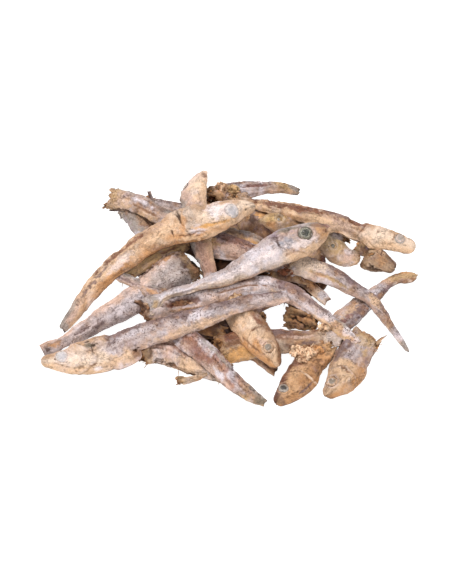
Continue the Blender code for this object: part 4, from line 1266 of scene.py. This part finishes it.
def eye_colours(fish, far, places):
    """From the clouded pupil out to the rim, in patches and dashes that drying has left; on the dark
    pupils the pale patches are also painted glints.
    """
    pupil, iris, rim = (dye(colour) for colour in fish.eye_colours)
    far = far + 0.1 * rough(places, 1.8, 7, 2) + 0.09 * rough(places, 0.7, 8, 2)
    colours = mixed(np.broadcast_to(pupil, places.shape), iris, ramp(far, 0.54, 0.6))
    colours = mixed(colours, rim, ramp(far, 0.64, 0.72))
    dark = fish.eye_colours[0] in DARK_PUPILS
    patches = rough(places, 0.9, 9, 3)
    colours = mixed(colours, dye(OLIVE_GREY), 0.4 * ramp(patches, 0.2, 0.9))
    # The pale pink patches are clouding, and on the dark pupils they also stand for painted glints.
    colours = mixed(colours, dye(PALE_PINK), (0.25 if dark else 0.4) * ramp(-patches, 0.2, 0.9))
    skin = ramp(rough(places, 1.1, 12, 2), 0.0, 0.6) * ramp(far, 0.7, 0.85)
    colours = mixed(colours, dye(BEIGE), (0.6 if dark else 0) * skin)
    dashes = bell(far - 0.88, 0.09) * ramp(rough(places, 0.8, 11, 2), -0.1, 0.3)
    return mixed(colours, dye(DARK_BROWN), 0.6 * dashes)


def eye_material():
    """A dry eye: cloudy, slightly wrinkled and still a little glossy."""
    nodes = Finish("cloudy_eye", 0.45)
    place = nodes.place()
    cloud = nodes.noise(place, 1100.0, 4.0)
    colour = nodes.vary(nodes.read("tint", "Color"), cloud, 0.3, 0.7, 0.78, 1.16)
    specks = nodes.span(nodes.noise(place, 1500.0, 3.0), 0.6, 0.66, 0.0, 0.5)
    colour = nodes.mix(specks, colour, (*dye(OLIVE_GREY), 1.0))
    return nodes.finish(colour, cloud, 0.12)


eyes = make_piece("fish_eyes", eye_domes(), eye_material())
put_in_heap(eyes)

# Lumps of dry flesh at the torn necks and ends, curled like crumbs of bread, with painted shade in
# their creases and painted highlights on their curls. They stick to the fish that they came out of.
FLESH_LUMPS = (  # the middle of each in mm, its half sizes, and its colour
    ((28.5, -32.3, 8.3), (2.8, 2.2, 2), PEACH),
    ((32.7, -33.6, 8.5), (3.2, 2.4, 2.2), PEACH),
    ((36.7, -31.5, 8), (2.6, 2, 1.8), ORANGE),
    ((30.5, -36, 7.6), (2.2, 1.7, 1.6), TAN),
    ((40, -21.5, 10), (2.6, 1.7, 1.6), PEACH),
    ((-2, 55, 11), (3.2, 3, 3), TAN),
    ((2.5, 55.2, 10), (3.2, 2.6, 2.8), YELLOW_TAN),
    # The dark brown lump is painted shade, standing for a dark hole among the lumps.
    ((-6.5, 52.5, 9), (2.2, 2.4, 3), DARK_BROWN),
    ((25, 6, 12.6), (3, 1.5, 1.3), RED_BROWN),
    ((-18, -7.2, 7.6), (6, 1.5, 1.4), BROWN),
    ((-22, 11, 7.5), (3, 2.5, 2), BROWN),
)
LUMP_RINGS = 36
LUMP_SIDES = 64
CURL_SIZE = 1.7
CURL_DEPTH = 0.55
LUMP_GRAIN_SIZE = 0.8
LUMP_GRAIN = 0.15
LUMP_TORN = 0.25  # how many crumbs stick to a lump


def flesh_lumps():
    """Closed curled lumps of flesh, as places, faces and colours, with painted shade in their creases
    and painted highlights on their curls.
    """
    ball = ball_rings(math.pi * (np.arange(LUMP_RINGS) + 0.5) / LUMP_RINGS, LUMP_SIDES)
    shapes = []
    for number, (middle, half, colour) in enumerate(FLESH_LUMPS):
        smooth = ball * half
        curls = np.abs(rough(smooth, CURL_SIZE, 300 + number, 3))
        grain = rough(smooth, LUMP_GRAIN_SIZE, 340 + number, 2)
        raised = CURL_DEPTH * (curls * 1.6 - 0.5) + LUMP_GRAIN * grain
        skin = np.array(middle) + smooth + ball * raised[..., None]
        tints = np.broadcast_to(dye(colour), skin.shape)
        # Painted highlights on the high curls, and painted shade in the creases between them.
        tints = mixed(tints, dye(PALE_PEACH), 0.35 * ramp(curls, 0.4, 0.9))
        tints = mixed(tints, dye(RED_BROWN), 0.9 * (1 - ramp(curls, 0.0, 0.22)))
        ends = (tints[0].mean(0), tints[-1].mean(0))
        shapes.append((*closed(skin, skin[0].mean(0), skin[-1].mean(0)),
                       np.vstack((tints.reshape(-1, 3), *ends))))
    return joined(shapes)


lump_shape = flesh_lumps()
lump_torn = ("torn", np.full(len(lump_shape[0]), LUMP_TORN))
lumps = make_piece("flesh_lumps", lump_shape, crumbly_flesh, (lump_torn,))
put_in_heap(lumps)

# Crumbs of dry flesh that stick to the torn ends, and the stiff fibres that stand out of
# them. Both are scattered over the torn surfaces of the fish and the lumps.
CRUMBS_PER_AREA = 0.8e6  # a square metre, where it is torn right through
CRUMB_SIZES = (0.0005, 0.0019)
CRUMB_FLATNESS = 0.55
CRUMB_DENTS = 0.0011
DENTS_PER_METRE = 1400.0
CRUMB_SEED, FIBRE_SEED = 5, 9
FIBRES_PER_AREA = 0.3e6
FIBRE_SIZES = (0.6, 1.5)
FIBRE_LENGTH = 0.0017
FIBRE_ROOT = 0.0004
FIBRE_RADIUS = 0.00011
FULL_TURN = 6.28
FIBRE_LEAN = 1.2
LEAST_TORN = 0.02
FLOOR_REACH = 1.0


def torn_surface():
    """The torn places of every fish and the lumps, as one mesh to scatter over."""
    places, faces, colours, torn = [], [], [], []
    for name in [fish.name for fish, body in heap_fish] + ["flesh_lumps"]:
        source = bpy.data.objects[name].data
        held = np.zeros(len(source.vertices))
        source.attributes["torn"].data.foreach_get("value", held)
        co, tint = np.zeros(len(held) * 3), np.zeros(len(held) * 4)
        source.vertices.foreach_get("co", co)
        source.attributes["tint"].data.foreach_get("color", tint)
        corners = [tuple(face.vertices) for face in source.polygons]
        wanted = [face for face in corners if held[list(face)].min() > LEAST_TORN]
        used = sorted({i for face in wanted for i in face})
        place = {old: len(places) + new for new, old in enumerate(used)}
        places += co.reshape(-1, 3)[used].tolist()
        colours += tint.reshape(-1, 4)[used].tolist()
        torn += held[used].tolist()
        faces += [tuple(place[i] for i in face) for face in wanted]
    mesh = bpy.data.meshes.new("torn_surface")
    mesh.from_pydata(places, [], faces)
    tint = mesh.attributes.new("tint", "FLOAT_COLOR", "POINT")
    tint.data.foreach_set("color", np.array(colours, float).ravel())
    mesh.attributes.new("torn", "FLOAT", "POINT").data.foreach_set("value", np.array(torn, float))
    host = bpy.data.objects.new("torn_surface", mesh)
    bpy.context.scene.collection.objects.link(host)
    return host


class Scatter(NodeTree):
    """A Geometry Nodes tree that scatters small things over what is torn."""

    def __init__(self, name, things, per_area, sizes, seed):
        super().__init__(bpy.data.node_groups.new(name, "GeometryNodeTree"))
        for way in ("INPUT", "OUTPUT"):
            self.tree.interface.new_socket("Geometry", in_out=way, socket_type="NodeSocketGeometry")
        self.inside = self.add("NodeGroupInput")
        self.values = {}
        density = self.value(f"{things} per area", "NodeSocketFloat", per_area)
        smallest = self.value("Smallest", "NodeSocketFloat", sizes[0])
        largest = self.value("Largest", "NodeSocketFloat", sizes[1])
        self.seed = self.value("Seed", "NodeSocketInt", seed)
        torn = self.add("GeometryNodeInputNamedAttribute", {"Name": "torn"}, data_type="FLOAT")
        amount = self.maths("Math", "MULTIPLY", torn.outputs[0], density)
        inputs = {"Mesh": self.inside.outputs["Geometry"], "Density": amount, "Seed": self.seed}
        self.points = self.add("GeometryNodeDistributePointsOnFaces", inputs)
        self.size = self.random("FLOAT", {2: smallest, 3: largest}).outputs[1]

    def value(self, name, kind, amount):
        """A named input of the tree, and the value that its modifier is given."""
        socket = self.tree.interface.new_socket(name, in_out="INPUT", socket_type=kind)
        self.values[socket.identifier] = amount
        return self.inside.outputs[name]

    def maths(self, kind, operation, a, b):
        return self.add(f"ShaderNode{kind}", {0: a, 1: b}, operation=operation).outputs[0]

    def random(self, kind, limits):
        return self.add("FunctionNodeRandomValue", {**limits, "Seed": self.seed}, data_type=kind)

    def random_turn(self, low, high):
        return self.random("FLOAT_VECTOR", {0: low, 1: high}).outputs[0]

    def set_out(self, thing, turn, scale):
        """One of the things on each point, turned and scaled."""
        inputs = {"Points": self.points.outputs[0], "Instance": thing.outputs[0],
                  "Rotation": turn, "Scale": scale}
        placed = self.add("GeometryNodeInstanceOnPoints", inputs)
        return self.add("GeometryNodeRealizeInstances", {"Geometry": placed.outputs[0]})

    def finish(self, whole):
        """Keeps what was scattered above the table, and gives it its material."""
        place = self.add("GeometryNodeInputPosition").outputs[0]
        lowest = (-FLOOR_REACH, -FLOOR_REACH, TABLE_CLEARANCE * MM)
        inputs = {"Geometry": whole.outputs[0],
                  "Position": self.maths("VectorMath", "MAXIMUM", place, lowest)}
        laid = self.add("GeometryNodeSetPosition", inputs)
        realised = self.add("GeometryNodeRealizeInstances", {"Geometry": laid.outputs[0]})
        inputs = {"Geometry": realised.outputs[0], "Material": crumbly_flesh}
        coated = self.add("GeometryNodeSetMaterial", inputs)
        self.add("NodeGroupOutput", {"Geometry": coated.outputs[0]})

    def grow(self, host, name):
        """The tree's result on a host, as a plain mesh object."""
        modifier = host.modifiers.new(name, "NODES")
        modifier.node_group = self.tree
        for identifier, amount in self.values.items():
            modifier[identifier] = amount
        evaluated = host.evaluated_get(bpy.context.evaluated_depsgraph_get())
        mesh = bpy.data.meshes.new_from_object(evaluated)
        host.modifiers.remove(modifier)
        mesh.name = name
        mesh.shade_smooth()
        piece = bpy.data.objects.new(name, mesh)
        bpy.context.scene.collection.objects.link(piece)
        return piece


def crumb_tree():
    """Flattened crumbs of a few sizes, each turned and dented its own way."""
    tree = Scatter("scattered_crumbs", "Crumbs", CRUMBS_PER_AREA, CRUMB_SIZES, CRUMB_SEED)
    crumb = tree.add("GeometryNodeMeshIcoSphere", {"Radius": 0.5, "Subdivisions": 1})
    low = tree.maths("Math", "MULTIPLY", tree.size, CRUMB_FLATNESS)
    flat = tree.add("ShaderNodeCombineXYZ", {0: tree.size, 1: tree.size, 2: low}).outputs[0]
    whole = tree.set_out(crumb, tree.random_turn((0, 0, 0), (FULL_TURN,) * 3), flat)
    place = tree.add("GeometryNodeInputPosition").outputs[0]
    inputs = {"Vector": place, "Scale": DENTS_PER_METRE, "Detail": 1.0}
    dents = tree.add("ShaderNodeTexNoise", inputs).outputs["Color"]
    level = tree.maths("VectorMath", "SUBTRACT", dents, (0.5, 0.5, 0.5))
    inputs = {0: level, "Scale": CRUMB_DENTS}
    offset = tree.add("ShaderNodeVectorMath", inputs, operation="SCALE").outputs[0]
    inputs = {"Geometry": whole.outputs[0], "Offset": offset}
    tree.finish(tree.add("GeometryNodeSetPosition", inputs))
    return tree


def fibre_tree():
    """Thin bent fibres that stand out of the torn flesh in all directions."""
    tree = Scatter("scattered_fibres", "Fibres", FIBRES_PER_AREA, FIBRE_SIZES, FIBRE_SEED)
    inputs = {"Resolution": 4, "Start": (0, 0, -FIBRE_ROOT), "Middle": (0, 0, FIBRE_LENGTH * 0.5),
              "End": (0, FIBRE_LENGTH * 0.3, FIBRE_LENGTH)}
    line = tree.add("GeometryNodeCurveQuadraticBezier", inputs).outputs[0]
    inputs = {"Resolution": 3, "Radius": FIBRE_RADIUS}
    ring = tree.add("GeometryNodeCurvePrimitiveCircle", inputs).outputs[0]
    inputs = {"Curve": line, "Profile Curve": ring, "Fill Caps": True}
    strand = tree.add("GeometryNodeCurveToMesh", inputs)
    turn = tree.random_turn((-FIBRE_LEAN, -FIBRE_LEAN, 0), (FIBRE_LEAN, FIBRE_LEAN, FULL_TURN))
    inputs = {"Rotation": tree.points.outputs["Rotation"], "Rotate By": turn}
    leaning = tree.add("FunctionNodeRotateEuler", inputs, space="LOCAL").outputs[0]
    tree.finish(tree.set_out(strand, leaning, tree.size))
    return tree


torn_host = torn_surface()
crumbs = crumb_tree().grow(torn_host, "flesh_crumbs")
fibres = fibre_tree().grow(torn_host, "flesh_fibres")
bpy.data.objects.remove(torn_host)
put_in_heap(crumbs)
put_in_heap(fibres)

# The plain white table that the heap lies on, soft studio light, and the camera, which
# looks down on the heap from the front.
TABLE_HALF = 1.2
TABLE_COLOUR = (0.4, 0.4, 0.4, 1)
TABLE_GLOW = 0.93
WHITE = (1, 1, 1, 1)
SKY_GLOW = 0.86
LOOK_AT = Vector((-HEAP_CENTRE[0], -HEAP_CENTRE[1], 7.0)) * MM
CAMERA_ELEVATION = math.radians(50)
CAMERA_AWAY = 0.6759
LENS = 100  # mm
SENSOR_HEIGHT = 36  # mm

table_mesh = bpy.data.meshes.new("table_top")
corners = [(x * TABLE_HALF, y * TABLE_HALF, 0) for x, y in ((-1, -1), (1, -1), (1, 1), (-1, 1))]
table_mesh.from_pydata(corners, [], [(0, 1, 2, 3)])
table = bpy.data.objects.new("table_top", table_mesh)
bpy.context.scene.collection.objects.link(table)
paper = Finish("white_paper", 0.9)
paper.shader.inputs["Base Color"].default_value = TABLE_COLOUR
paper.shader.inputs["Emission Color"].default_value = WHITE
paper.shader.inputs["Emission Strength"].default_value = TABLE_GLOW
table_mesh.materials.append(paper.material)

world = bpy.data.worlds.new("studio")
world.use_nodes = True
sky = world.node_tree.nodes["Background"]
sky.inputs["Color"].default_value = WHITE
sky.inputs["Strength"].default_value = SKY_GLOW
bpy.context.scene.world = world


def add_light(name, place, size, power):
    """A soft square light that faces the heap."""
    light = bpy.data.lights.new(name, "AREA")
    light.size = size
    light.energy = power
    lamp = bpy.data.objects.new(name, light)
    lamp.location = place
    lamp.rotation_mode = "QUATERNION"
    lamp.rotation_quaternion = (LOOK_AT - Vector(place)).to_track_quat("-Z", "Y")
    bpy.context.scene.collection.objects.link(lamp)


add_light("key_light", place=(-0.35, 0.15, 0.75), size=0.35, power=4.6)
add_light("fill_light", place=(0.5, -0.6, 0.5), size=0.6, power=1.6)

camera_data = bpy.data.cameras.new("camera")
camera_data.lens = LENS
camera_data.sensor_fit = "VERTICAL"
camera_data.sensor_height = SENSOR_HEIGHT
camera = bpy.data.objects.new("camera", camera_data)
towards = Vector((0, -math.cos(CAMERA_ELEVATION), math.sin(CAMERA_ELEVATION)))
camera.location = LOOK_AT + towards * CAMERA_AWAY
camera.rotation_mode = "QUATERNION"
camera.rotation_quaternion = (-towards).to_track_quat("-Z", "Y")
bpy.context.scene.collection.objects.link(camera)
bpy.context.scene.camera = camera
bpy.context.scene.view_settings.view_transform = "Standard"
